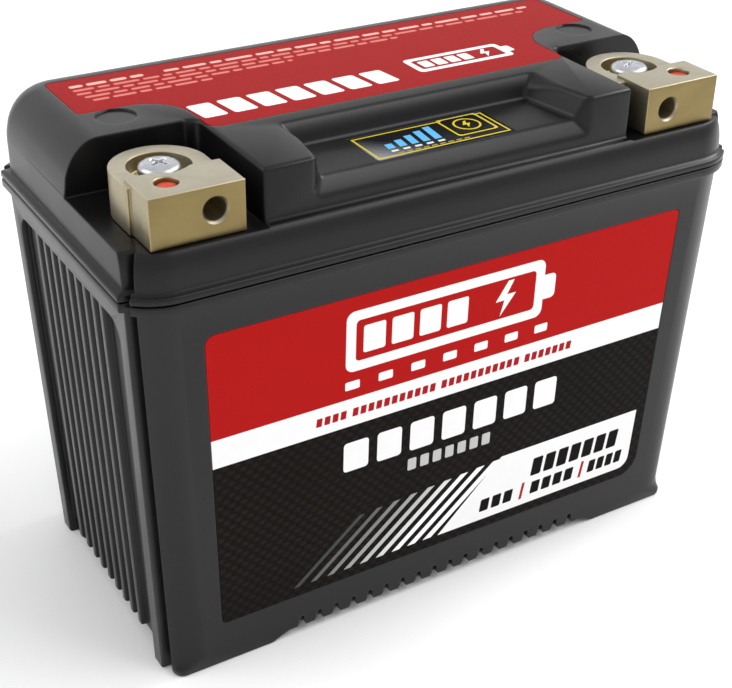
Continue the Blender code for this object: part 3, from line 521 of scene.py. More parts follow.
def round_edges(obj, width, segments, pick, angle=30.0, clamp=False):
    """Rounds only the sharp edges whose two ends are both picked."""
    bm = bmesh.new()
    bm.from_mesh(obj.data)
    bmesh.ops.remove_doubles(bm, verts=bm.verts, dist=0.004 * MM)
    bmesh.ops.dissolve_limit(bm, angle_limit=math.radians(0.6), verts=bm.verts, edges=bm.edges)
    chosen = [
        edge for edge in bm.edges
        if len(edge.link_faces) == 2 and abs(edge.calc_face_angle(0.0)) > math.radians(angle)
        and all(pick(v.co.x / MM, v.co.y / MM, v.co.z / MM) for v in edge.verts)
    ]
    bmesh.ops.bevel(bm, geom=chosen, offset=width * MM, segments=segments, profile=0.5, affect="EDGES", clamp_overlap=clamp, miter_outer="ARC")
    bmesh.ops.remove_doubles(bm, verts=bm.verts, dist=0.002 * MM)
    bmesh.ops.recalc_face_normals(bm, faces=bm.faces)
    bm.to_mesh(obj.data)
    bm.free()


# ---------------------------------------------------------------- body outline
def half_x(z):
    return HALF_L - DRAFT_X * max(0.0, SEAM_Z - z)


def half_y(z):
    return HALF_W - DRAFT_Y * max(0.0, SEAM_Z - z)


def corner(a, b, inset, n, off=0.0, square=False):
    """End wall, moulded groove, then the round wrap, for x>0, y>0.

    off is the overhang of the flange at this height; square gives the corner of the feet.
    """
    cx, cy, r = a - off - CORNER_IN, b - off - CORNER_R, CORNER_R + off - inset
    last = math.acos((CORNER_IN + off - GROOVE_OUT) / (CORNER_R + off))
    start = (cx + r * math.cos(last), cy + r * math.sin(last))
    lip = b - 5.5 - 0.5 * off - 0.75 * inset
    floor_x = a - GROOVE_IN - 0.5 * inset
    points = []
    for k in range(5):                       # rounded edge of the frame strip
        t = math.pi / 2 * k / 4
        points.append((a - 0.5 + 0.5 * math.cos(t), lip - 0.5 + 0.5 * math.sin(t)))
    points.append((floor_x + 0.35, lip + 0.12))
    points.append((floor_x, lip + 0.45))
    points.append((floor_x, lip + 0.95))
    points.append((floor_x + 0.3, lip + 1.3))
    for k in range(n + 1):
        t = last + (math.pi / 2 - last) * k / n
        if square and k:
            t = math.pi / 2 * (k - 1) / (n - 1)
            points.append((start[0] - 2.6 + 2.6 * math.cos(t), b - 2.6 + 2.6 * math.sin(t)))
        else:
            points.append((cx + r * math.cos(t), cy + r * math.sin(t)))
    return points


def plain_corner(a, b, n, count):
    r = 10.0 - 0.6 * (HALF_L - a)
    return [
        (a - r + r * math.cos(math.pi / 2 * k / (count - 1)), b - r + r * math.sin(math.pi / 2 * k / (count - 1)))
        for k in range(count)
    ]


def mirror_round(quadrants):
    ne, nw, sw, se = quadrants
    ring = list(ne)
    ring += [(-x, y) for x, y in reversed(nw)]
    ring += [(-x, -y) for x, y in sw]
    ring += [(x, -y) for x, y in reversed(se)]
    return ring


def panel(a, z):
    """End panel from y<0 to y>0: recess with rounded ribs."""
    depth, edge = 0.0, half_y(z) - STRIP
    if z <= PANEL_TOP:
        depth = PANEL_DEPTH
        rise = z - (PANEL_TOP - PANEL_R)
        if rise > 0:
            edge -= PANEL_R - math.sqrt(max(0.0, PANEL_R**2 - rise**2))
            depth = PANEL_DEPTH * (1.0 - (rise / PANEL_R) ** 8)
    low = min(RIB_LOW, depth)
    soft = min(0.45, depth * 0.45)
    side = [
        (a, edge + 0.5), (a - soft * 0.3, edge + 0.12), (a - soft, edge),
        (a - depth + soft * 0.6, edge - 0.12), (a - depth, edge - 0.6),
    ]
    points = [(x, -y) for x, y in side]
    for k in range(RIB_COUNT):
        y = (k - (RIB_COUNT - 1) / 2) * RIB_PITCH
        rib = [(a - depth, 1.75), (a - depth + soft * 0.4, 1.4), (a - low - soft * 0.8, 1.18), (a - low - soft * 0.15, 0.95), (a - low, 0.6)]
        points += [(x, y - w) for x, w in rib]
        points += [(x, y + w) for x, w in reversed(rib)]
    points += list(reversed(side))
    return points


def case_ring(z, off=0.0, inset=0.0, n=12, square=False):
    a, b = half_x(z) + off - inset, half_y(z) + off - inset
    quad = corner(a, b, 0.0, n, off, square)
    right = panel(a, z)
    ring = list(right)
    ring += quad
    ring += [(-x, y) for x, y in reversed(quad)]
    ring += [(-x, y) for x, y in reversed(right)]
    ring += [(-x, -y) for x, y in quad]
    ring += [(x, -y) for x, y in reversed(quad)]
    return [(x, y, z) for x, y in ring]


def build_case():
    top = SEAM_Z - SEAM_GAP / 2
    rings = [
        case_ring(0.0, inset=0.45, square=True),
        case_ring(0.15, inset=0.15, square=True),
        case_ring(0.5, square=True),
        case_ring(1.7, square=True),
        case_ring(4.0),
        case_ring(PANEL_TOP - PANEL_R),
    ]
    for share in (0.25, 0.5, 0.7, 0.85, 0.94, 0.985, 1.0):
        rings.append(case_ring(PANEL_TOP - PANEL_R * (1.0 - share)))
    rings.append(case_ring(PANEL_TOP + 0.25))
    rings.append(case_ring(top - 2.9))
    rings.append(case_ring(top - 2.45, off=0.18))
    for t in (0, 20, 45, 70, 90):
        rings.append(case_ring(top - 1.85 - 0.45 * math.cos(math.radians(t)), off=0.55 + (FLANGE - 0.55) * math.sin(math.radians(t))))
    for t in (0, 30, 60, 90):
        rings.append(case_ring(top - 0.45 + 0.45 * math.sin(math.radians(t)), off=FLANGE - 0.45 * (1 - math.cos(math.radians(t)))))
    case = finish(loft_bm(rings), "case_shell", CASE_PLASTIC)

    between = bmesh.new()
    section = [(-FOOT_X0 - 2.2, -1.0), (FOOT_X0 + 2.2, -1.0), (FOOT_X1 + 0.5, BASE_Z - 0.25), (FOOT_X1 - 0.3, BASE_Z),
               (-FOOT_X1 + 0.3, BASE_Z), (-FOOT_X1 - 0.5, BASE_Z - 0.25)]
    loft_bm([[(x, -50.0, z) for x, z in section], [(x, 50.0, z) for x, z in section]], between)

    def cavity(z):
        a, b = half_x(z) - WALL_END, half_y(z) - WALL
        return [(x, y, z) for x, y in rounded(-a, -b, a, b, 7.0, 4)]

    notches = bmesh.new()
    for k in range(NOTCH_COUNT):
        x = (k - (NOTCH_COUNT - 1) / 2) * NOTCH_PITCH
        w, top_z = NOTCH_W / 2, BASE_Z + NOTCH_H
        right = [(w + 0.75, BASE_Z - 1), (w + 0.5, BASE_Z + 0.15), (w + 0.1, BASE_Z + 0.9), (w, BASE_Z + 1.5), (w, top_z - 0.5), (w * 0.75, top_z - 0.15), (w * 0.3, top_z)]
        section = [(x + px, pz) for px, pz in right] + [(x - px, pz) for px, pz in reversed(right)]
        deep = half_y(BASE_Z + NOTCH_H) - NOTCH_DEEP
        loft_bm([[(px, -50.0, pz) for px, pz in section], [(px, -deep, pz) for px, pz in section]], notches)
        loft_bm([[(px, deep, pz) for px, pz in section], [(px, 50.0, pz) for px, pz in section]], notches)
    relief = bmesh.new()
    for side in (1, -1):
        xs = sorted((side * 75.6, side * 90.0))
        box_bm((xs[0], -28.6, -5.0), (xs[1], 28.6, END_LIFT), relief)
    boolean(case, [
        ("DIFFERENCE", loft_bm([cavity(FLOOR_Z), cavity(SEAM_Z), [(x, y, SEAM_Z + 2) for x, y, _ in cavity(SEAM_Z)]])),
        ("DIFFERENCE", between),
        ("DIFFERENCE", box_bm((-90.0, -FOOT_IN, -1.0), (90.0, FOOT_IN, BASE_Z + 0.02))),
        ("DIFFERENCE", notches),
        ("DIFFERENCE", relief),
        ("DIFFERENCE", label_slab(-0.42, 1.5, grow=0.12)),
    ])
    soften(case, 0.0)
    return case


# ---------------------------------------------------------------- front label
def front_y(z):
    return -half_y(z)


def lean(x, z):
    return x * (1 + LABEL_LEAN * (z - 60.0) / LABEL_X)


def label_outline(grow=0.0, n=8):
    flat = rounded(-LABEL_X - grow, LABEL_Z0 - grow, LABEL_X + grow, LABEL_Z1 + grow, (1.5, 6.0, 1.5, 2.5), n)
    return [(lean(x, z), z) for x, z in flat]


def label_slab(inner, outer, grow=0.0):
    outline = label_outline(grow)
    return loft_bm([[(x, front_y(z) - inner, z) for x, z in outline], [(x, front_y(z) - outer, z) for x, z in outline]])


# ---------------------------------------------------------------- lid
def shoulder(z):
    t = (z - (LID_TOP - SHOULDER_Z)) / SHOULDER_Z
    return SHOULDER_X * (1.0 - math.sqrt(max(0.0, 1.0 - min(1.0, t) ** 2))) if t > 0 else 0.0


def front_inset(z):
    t = (z - LEDGE_LOW) / (LEDGE_Z - LEDGE_LOW)
    return LEDGE_IN * (1.0 - math.sqrt(max(0.0, 1.0 - min(1.0, t) ** 2))) if t > 0 else 0.0


def lid_ring(z, off=0.0, n=12, raised=False, front_z=None):
    s = shoulder(z)
    a, back = HALF_L + off - s, HALF_W + off - s
    grooved = corner(HALF_L + off, HALF_W + off, front_inset(z), n, off)
    count = len(grooved)
    front = plain_corner(a, HALF_W - BLOCK_IN, n, count) if raised else grooved
    rear = corner(a, back, 0.0, n, off) if off > 0.6 else plain_corner(a, back, n, count)
    low = z if front_z is None else front_z
    return [(x, y, z if y > 0 else low) for x, y in mirror_round((rear, rear, front, front))]


def lid_rings(n=12):
    base = SEAM_Z + SEAM_GAP / 2
    rings = []
    for t in (90, 60, 30, 0):
        rings.append(lid_ring(base + 0.45 - 0.45 * math.sin(math.radians(t)), FLANGE - 0.45 * (1 - math.cos(math.radians(t))), n))
    for t in (0, 30, 60, 90):
        rings.append(lid_ring(base + 1.2 + 0.5 * math.sin(math.radians(t)), FLANGE - 0.5 * (1 - math.cos(math.radians(t))), n))
    rings.append(lid_ring(base + 1.95, 0.35, n))
    rings.append(lid_ring(base + 2.25, 0.05, n))
    for k in range(9):
        rings.append(lid_ring(LEDGE_LOW + (LEDGE_Z - LEDGE_LOW) * math.sin(k / 8 * math.pi / 2), 0.0, n))
    rings.append(lid_ring(LEDGE_Z + 1.5, 0.0, n, True, LEDGE_Z))
    for k in range(3, 13):
        rings.append(lid_ring(LID_TOP - SHOULDER_Z + SHOULDER_Z * math.sin(k / 12 * math.pi / 2), 0.0, n, True))
    return rings


def pocket_outline(side, grow=0.0, n=8):
    r = POCKET_R
    x0, y1 = POCKET_X - grow, POCKET_Y + grow
    points = [(x0, -60.0), (100.0, -60.0), (100.0, y1)]
    for k in range(n + 1):
        t = math.radians(90 + 90 * k / n)
        points.append((x0 + r + r * math.cos(t), y1 - r + r * math.sin(t)))
    return points if side > 0 else [(-x, y) for x, y in reversed(points)]


def recess_tool_bm():
    rim = LID_TOP + 3.0
    profile = [
        (-46.0, 117.9, 37.1), (-37.6, 117.9, 37.1), (-34.8, RECESS_Z, 34.2), (-18.4, RECESS_Z, 31.8), (-18.2, 124.45, 32.4),
        (-16.9, LID_TOP, 35.0), (-16.9, rim, 35.0), (-37.6, rim, 37.1), (-46.0, rim, 37.1),
    ]
    bm = bmesh.new()
    left = [bm.verts.new((-x * MM, y * MM, z * MM)) for y, z, x in profile]
    right = [bm.verts.new((x * MM, y * MM, z * MM)) for y, z, x in profile]
    for i in range(len(profile)):
        j = (i + 1) % len(profile)
        bm.faces.new((left[i], left[j], right[j], right[i]))
    for side in (left, right):
        for i, j, k in ((0, 1, 7), (0, 7, 8), (1, 2, 7), (2, 3, 7), (3, 4, 7), (4, 5, 7), (5, 6, 7)):
            bm.faces.new((side[i], side[j], side[k]))
    return bm


def top_label_outline(grow=0.0, n=14):
    g = grow
    half = [(46.4 + g, TOP_LABEL_FRONT - g), (47.4 + g, TOP_LABEL_FRONT + 0.5 - g), (48.1 + g, TOP_LABEL_FRONT + 1.3 - g), (48.5 + g, TOP_LABEL_FRONT + 2.6 - g)]
    for k in range(n + 1):
        t = math.pi - math.pi / 2 * k / n
        r = 11.4 - g
        half.append((60.0 + r * math.cos(t), -2.2 + r * math.sin(t)))
    half += [(TOP_LABEL_X - 0.8 + g, 9.2 - g), (TOP_LABEL_X + g, 9.9 - g)]
    for k in range(5):
        t = math.pi / 2 * k / 4
        half.append((TOP_LABEL_X - 1.5 + g + 1.5 * math.cos(t), TOP_LABEL_BACK - 1.5 + g + 1.5 * math.sin(t)))
    return half + [(-x, y) for x, y in reversed(half)]


def build_lid():
    lid = finish(loft_bm(lid_rings()), "lid_shell", LID_PLASTIC)
    boolean(lid, [("DIFFERENCE", prism_bm(pocket_outline(side), POCKET_Z, 140.0)) for side in (1, -1)] + [("DIFFERENCE", recess_tool_bm())])
    round_edges(lid, 0.9, 3, lambda x, y, z: z > 115.0 and -42.0 < y < -4.0 and abs(x) < 60.0)
    a, b = HALF_L - WALL_END - 0.4, HALF_W - WALL - 0.4
    cutters = [("UNION", prism_bm(rounded(-a, -b, a, b, 6.6, 4), 99.6, SEAM_Z + 1.0))]

    def hollow_ring(z):
        if z < 106.2:
            a, b = HALF_L - WALL_END - 2.2, HALF_W - WALL - 2.2
            return [(x, y, z) for x, y in rounded(-a, -b, a, b, 5.0, 3)]
        s = shoulder(z + LID_WALL) + LID_WALL
        f = front_inset(z + 1.0) + LID_WALL + 0.6
        return [(x, y, z) for x, y in rounded(-(HALF_L - s - 2.0), -(HALF_W - f), HALF_L - s - 2.0, HALF_W - s, 4.0, 3)]

    hollow = finish(loft_bm([hollow_ring(z) for z in (99.0, 106.1, 107.6, 112.0, 116.0, 120.0, 123.0, LID_TOP - LID_WALL)]), "lid_hollow")
    keep = bmesh.new()
    for side in (1, -1):
        prism_bm(pocket_outline(side, LID_WALL), POCKET_Z - LID_WALL, 140.0, keep)
    bosses = bmesh.new()
    for side in (1, -1):
        prism_bm(circle(side * TERM_X[side], TERM_Y, 8.2, 16), 101.5, 120.0, bosses)
    boolean(hollow, [
        ("DIFFERENCE", keep),
        ("DIFFERENCE", box_bm((-40.2, -60.0, RECESS_Z - 2.4), (40.2, -14.4, 140.0))),
        ("DIFFERENCE", box_bm((-40.2, -60.0, 115.2), (40.2, -33.0, 140.0))),
        ("DIFFERENCE", bosses),
    ])
    inner = bmesh.new()
    inner.from_mesh(hollow.data)
    bpy.data.objects.remove(hollow, do_unlink=True)
    cutters.append(("DIFFERENCE", inner))
    for side in (1, -1):
        cutters.append(("DIFFERENCE", prism_bm(circle(side * TERM_X[side], TERM_Y, 5.6, 32), 98.0, 130.0)))
        cutters.append(("DIFFERENCE", prism_bm(circle(side * DISC_X, DISC_Y, DISC_R, 48), LID_TOP - 0.4, 130.0)))
    cutters.append(("DIFFERENCE", prism_bm(top_label_outline(0.15), LID_TOP - 0.5, 130.0)))
    x0, y0, x1, y1 = OVERLAY
    cutters.append(("DIFFERENCE", box_bm((x0 - 0.2, y0 - 0.2, RECESS_Z - 0.7), (x1 + 0.2, y1 + 0.2, RECESS_Z + 2.5))))
    kx0, ky0, kx1, ky1 = KEY
    cutters.append(("DIFFERENCE", box_bm((kx0 - 0.4, ky0 - 0.4, RECESS_Z - 1.3), (kx1 + 0.4, ky1 + 0.4, RECESS_Z + 1.0))))
    cutters.append(("DIFFERENCE", prism_bm(circle((kx0 + kx1) / 2, (ky0 + ky1) / 2, 2.6, 24), RECESS_Z - 4.0, RECESS_Z)))
    cutters.append(("DIFFERENCE", box_bm((-16.8, -30.6, RECESS_Z - 4.0), (1.0, -22.4, RECESS_Z))))
    boolean(lid, cutters)
    soften(lid, 0.0)
    return lid


# ---------------------------------------------------------------- print on film
def printed_sheet(name, outline, shapes, place, thickness, look, base, base_weave=0.0):
    """A thin closed sheet whose front is divided along the printed shapes.

    shapes is a list of (outline, ink, weave); later ones lie over earlier ones. place
    turns a flat point and a depth into a position in millimetres.
    """
    points, faces = [], []
    for ring in [outline] + [shape[0] for shape in shapes]:
        start = len(points)
        points += [Vector(p) for p in ring]
        faces.append(list(range(start, start + len(ring))))
    verts, _, tris, _, _, origins = delaunay_2d_cdt(points, [], faces, 1, 1e-5)
    bm = bmesh.new()
    ink = bm.loops.layers.float_color.new("ink")
    weave = bm.faces.layers.float.new("weave_face")
    front = [bm.verts.new([c * MM for c in place(v.x, v.y, 0.0)]) for v in verts]
    for tri, origin in zip(tris, origins):
        if 0 not in origin:
            continue
        try:
            face = bm.faces.new([front[i] for i in tri])
        except ValueError:
            continue
        top = max(origin)
        tone, woven = (base, base_weave) if top == 0 else (shapes[top - 1][1], shapes[top - 1][2])
        for loop in face.loops:
            loop[ink] = (*tone, 1.0)
        face[weave] = woven
    bmesh.ops.delete(bm, geom=[v for v in bm.verts if not v.link_faces], context="VERTS")
    rim = [edge for edge in bm.edges if len(edge.link_faces) == 1]
    depth = Vector([c * MM for c in place(0.0, 60.0, thickness)]) - Vector([c * MM for c in place(0.0, 60.0, 0.0)])
    made = bmesh.ops.extrude_edge_only(bm, edges=rim)
    back = [item for item in made["geom"] if isinstance(item, bmesh.types.BMVert)]
    bmesh.ops.translate(bm, verts=back, vec=depth)
    loop_edges = [item for item in made["geom"] if isinstance(item, bmesh.types.BMEdge) and all(v in set(back) for v in item.verts)]
    bmesh.ops.contextual_create(bm, geom=loop_edges)
    for face in bm.faces:
        for loop in face.loops:
            if loop[ink][3] == 0.0:
                loop[ink] = (*base, 1.0)
    bmesh.ops.recalc_face_normals(bm, faces=bm.faces)
    mesh = bpy.data.meshes.new(name)
    bm.to_mesh(mesh)
    values = [0.0] * len(mesh.polygons)
    mesh.attributes["weave_face"].data.foreach_get("value", values)
    layer = mesh.attributes.new("weave", "FLOAT", "CORNER")
    corner_values = []
    for polygon, value in zip(mesh.polygons, values):
        corner_values += [value] * polygon.loop_total
    layer.data.foreach_set("value", corner_values)
    mesh.attributes.remove(mesh.attributes["weave_face"])
    bm.free()
    obj = bpy.data.objects.new(name, mesh)
    HOME.objects.link(obj)
    mesh.materials.append(look)
    return obj


def moved(ring, dx=0.0, dy=0.0, scale=1.0):
    return [(x * scale + dx, y * scale + dy) for x, y in ring]


def slanted(x0, y0, x1, y1, slope=0.0):
    """A bar leaning by slope (run for each unit of rise)."""
    return [(x0, y0), (x1, y0), (x1 + slope * (y1 - y0), y1), (x0 + slope * (y1 - y0), y1)]


def bolt_mark(cx, cy, s):
    ring = [(0.10, 1.0), (-0.62, -0.10), (-0.08, -0.10), (-0.30, -1.0), (0.62, 0.22), (0.06, 0.22), (0.46, 1.0)]
    return [(cx + x * s, cy + y * s) for x, y in ring]


RED = srgb(173, 24, 23)
# the front red darkened for the top label: painted shade that offsets the stronger light falling on the top
RED_TOP = srgb(150, 18, 19)
RED_TEXT = srgb(168, 26, 32)
WHITE = srgb(240, 240, 240)
INK = srgb(20, 18, 16)


def blocks(x0, z0, count, width, height, pitch, ink, radius=0.3, lean_by=0.0):
    """A row of equal rounded blocks that stands for a word of print."""
    shapes = []
    for k in range(count):
        x = x0 + k * pitch
        ring = rounded(x, z0, x + width, z0 + height, radius, 3)
        shapes.append(([(px + lean_by * (pz - z0), pz) for px, pz in ring], ink, 0.0))
    return shapes


def print_line(x0, x1, z0, height, words, ink, gap=1.1):
    """A line of fine print: one thin rounded bar for each word."""
    shapes, x, k = [], x0, 0
    while x < x1 - 0.8:
        w = min(words[k % len(words)], x1 - x)
        shapes.append((rounded(x, z0, x + w, z0 + height, height * 0.42, 2), ink, 0.0))
        x += w + gap
        k += 1
    return shapes


def front_label_shapes():
    shapes = []
    edge = LABEL_X + 3.0
    # lower part: woven black with a plain dark margin at the foot
    shapes.append(([(-edge, 5.0), (edge, 5.0), (edge, 58.98), (-edge, 58.98)], INK, 1.0))
    shapes.append(([(-edge, 58.98), (edge, 58.98), (edge, 66.68), (-edge, 66.68)], WHITE, 0.0))
    # upper part: battery outline with a bolt, in white, and a row of five level bars
    body = rounded(-31.0, 74.0, 24.5, 90.0, 2.2, 5)
    shapes.append((body, WHITE, 0.0))
    shapes.append((rounded(24.5, 78.6, 28.0, 85.4, (0.05, 1.2, 1.2, 0.05), 4), WHITE, 0.0))
    shapes.append((rounded(-28.4, 76.6, 21.9, 87.4, 1.1, 4), RED, 0.0))
    for k in range(4):
        x = -26.4 + k * 7.6
        shapes.append((rounded(x, 78.4, x + 5.9, 85.6, 0.6, 3), WHITE, 0.0))
    shapes.append((bolt_mark(13.2, 82.0, 4.7), WHITE, 0.0))
    shapes += blocks(-31.0, 69.2, 7, 3.9, 2.3, 9.0, WHITE, 0.4)
    # fine print on the white band: four words
    for start, count in ((-38.6, 4), (-28.9, 11), (-4.1, 11), (20.7, 7)):
        shapes += blocks(start, 61.5, count, 1.55, 2.3, 2.15, RED_TEXT, 0.25, 0.1)
    # heading and its second line on the woven part
    shapes += blocks(-31.0, 45.8, 7, 6.9, 8.4, 9.35, WHITE, 0.9)
    shapes += blocks(-12.6, 39.9, 7, 2.5, 3.5, 3.7, srgb(190, 190, 190), 0.4)
    # diagonal stripes that brighten to the right
    count = 9
    for k in range(count):
        share = k / (count - 1)
        x = -44.4 + 37.6 * share
        z0, z1 = 15.4 + 0.2 * share, 31.2 + 2.2 * share
        tone = srgb(*[74 + (244 - 74) * min(1.0, share * 1.35)] * 3)
        run = 1.16
        w = 1.6 + 0.9 * share
        shapes.append(([(x, z0), (x + w, z0), (x + w + run * (z1 - z0), z1), (x + run * (z1 - z0), z1)], tone, 0.0))
    # white field at the lower right, slanted on its left, round at its lower right
    corner_r = 3.4
    field = [(-2.2, 15.4)]
    for k in range(7):
        t = math.radians(270 + 90 * k / 6)
        field.append((60.9 - corner_r + corner_r * math.cos(t), 15.4 + corner_r + corner_r * math.sin(t)))
    field += [(61.5, 34.0), (16.5, 34.0), (15.4, 33.0)]
    shapes.append((field, WHITE, 0.0))
    shapes += blocks(26.6, 24.0, 7, 3.3, 5.6, 4.25, INK, 0.45, 0.12)
    shapes += blocks(10.6, 18.0, 3, 2.8, 3.9, 3.75, INK, 0.35, 0.12)
    shapes.append((slanted(23.4, 17.4, 24.3, 22.6, 0.16), RED_TEXT, 0.0))
    shapes += blocks(27.0, 18.0, 4, 2.8, 3.9, 3.75, INK, 0.35, 0.12)
    shapes.append((slanted(43.3, 17.4, 44.2, 22.6, 0.16), RED_TEXT, 0.0))
    shapes += blocks(46.4, 18.0, 4, 2.3, 3.9, 3.05, INK, 0.35, 0.12)
    return shapes


def build_front_label():
    def place(x, z, depth):
        return (x, front_y(z) + depth, z)

    return printed_sheet("front_label_sheet", label_outline(0.0), front_label_shapes(), place, 0.3, LABEL_FILM, RED)


def top_label_shapes():
    shapes = []
    # a row of blocks and a battery outline in the middle; lines of fine print along the back
    shapes += blocks(-47.4, -6.4, 7, 5.9, 8.6, 7.55, WHITE, 0.8, -0.12)
    shapes.append((rounded(11.0, -4.4, 39.0, 5.0, 1.3, 4), WHITE, 0.0))
    shapes.append((rounded(39.0, -1.6, 41.0, 2.2, (0.05, 0.7, 0.7, 0.05), 3), WHITE, 0.0))
    shapes.append((rounded(12.6, -2.8, 37.4, 3.4, 0.7, 4), RED_TOP, 0.0))
    for k in range(4):
        shapes.append((rounded(13.8 + k * 3.9, -1.8, 16.8 + k * 3.9, 2.4, 0.4, 3), WHITE, 0.0))
    shapes.append((bolt_mark(33.0, 0.3, 2.6), WHITE, 0.0))
    bold, faint = srgb(232, 176, 168), srgb(210, 120, 112)
    shapes += print_line(-67.0, -47.0, 25.4, 1.6, (3.4, 5.0, 4.2), bold, 0.9)
    shapes += print_line(-43.0, 66.0, 25.6, 1.4, (4.0, 6.2, 3.2, 7.4, 5.0), bold, 1.0)
    shapes += print_line(-67.0, 62.0, 22.9, 1.2, (5.2, 3.0, 6.6, 4.2, 2.4), faint, 0.9)
    shapes += print_line(-67.0, 20.0, 20.4, 1.2, (3.6, 6.0, 2.8, 5.2), faint, 0.9)
    shapes += print_line(-66.0, -12.0, 17.9, 1.2, (6.2, 3.4, 4.8, 2.6), faint, 0.9)
    shapes += print_line(-65.0, -34.0, 15.4, 1.2, (4.0, 5.8, 3.0), faint, 0.9)
    return shapes


def build_top_label():
    def place(x, y, depth):
        return (x, y, LID_TOP - depth)

    return printed_sheet("top_label_sheet", top_label_outline(), top_label_shapes(), place, 0.3, LABEL_FILM, RED_TOP)


YELLOW = srgb(214, 190, 40)
DARK = srgb(22, 23, 25)


def build_overlay():
    x0, y0, x1, y1 = OVERLAY
    shapes = []
    # dark field with a pale metallic fade at its front left
    steps = 9
    for k in range(steps):
        share = k / steps
        width = (x1 - x0) * 0.5 * (1 - share) + 1.0
        tone = tuple(DARK[i] + (srgb(150, 152, 156)[i] - DARK[i]) * share**1.4 for i in range(3))
        shapes.append(([(x0, y0), (x0 + width, y0), (x0, y0 + (y1 - y0) * 1.1 * (1 - share) + 0.6)], tone, 0.0))
    shapes += [(rounded(x0 + 0.5, y0 + 0.5, x0 + 0.95, y1 - 0.5, 0.05, 1), YELLOW, 0.0)]
    shapes += [(rounded(x0 + 0.5, y0 + 0.5, x1 - 0.5, y0 + 0.95, 0.05, 1), YELLOW, 0.0)]
    shapes += [(rounded(x0 + 0.5, y1 - 0.95, x1 - 0.5, y1 - 0.5, 0.05, 1), YELLOW, 0.0)]
    shapes += [(rounded(x1 - 0.95, y0 + 0.5, x1 - 0.5, y1 - 0.5, 0.05, 1), YELLOW, 0.0)]
    blue = srgb(96, 176, 226)
    for k in range(5):
        x = -13.6 + k * 3.1
        shapes.append((slanted(x, -29.4, x + 1.9, -29.4 + 2.6 + 1.15 * k, 0.12), blue, 0.0))
        shapes.append((slanted(x - 0.1, -31.2, x + 1.7, -30.3, 0.1), srgb(210, 214, 216), 0.0))
    for k in range(9):
        x = -12.8 + k * 2.2
        shapes.append((slanted(x, -32.6, x + 1.5, -32.0, 0.1), srgb(150, 140, 70), 0.0))
    shapes.append((rounded(KEY[0] - 0.75, KEY[1] - 0.75, KEY[2] + 0.75, KEY[3] + 0.75, 0.8, 3), YELLOW, 0.0))

    def place(x, y, depth):
        return (x, y, RECESS_Z - depth)

    sheet = printed_sheet("overlay_sheet", rounded(x0, y0, x1, y1, 0.8, 4), shapes, place, 0.4, OVERLAY_FILM, DARK)
    boolean(sheet, [("DIFFERENCE", prism_bm(rounded(KEY[0] - 0.25, KEY[1] - 0.25, KEY[2] + 0.25, KEY[3] + 0.25, 0.9, 5), 119.0, 124.0))])
    sheet.data.materials.clear()
    sheet.data.materials.append(OVERLAY_FILM)
    return sheet


def build_key():
    cx, cy = (KEY[0] + KEY[2]) / 2, (KEY[1] + KEY[3]) / 2
    shapes = [
        (circle(cx, cy, 3.4, 40), YELLOW, 0.0),
        (circle(cx, cy, 2.9, 40), DARK, 0.0),
        (bolt_mark(cx - 0.05, cy, 1.9), YELLOW, 0.0),
    ]

    def place(x, y, depth):
        return (x, y, RECESS_Z + 0.1 - depth)

    return printed_sheet("test_key_cap", rounded(*KEY, 1.0, 5), shapes, place, 0.5, OVERLAY_FILM, DARK)


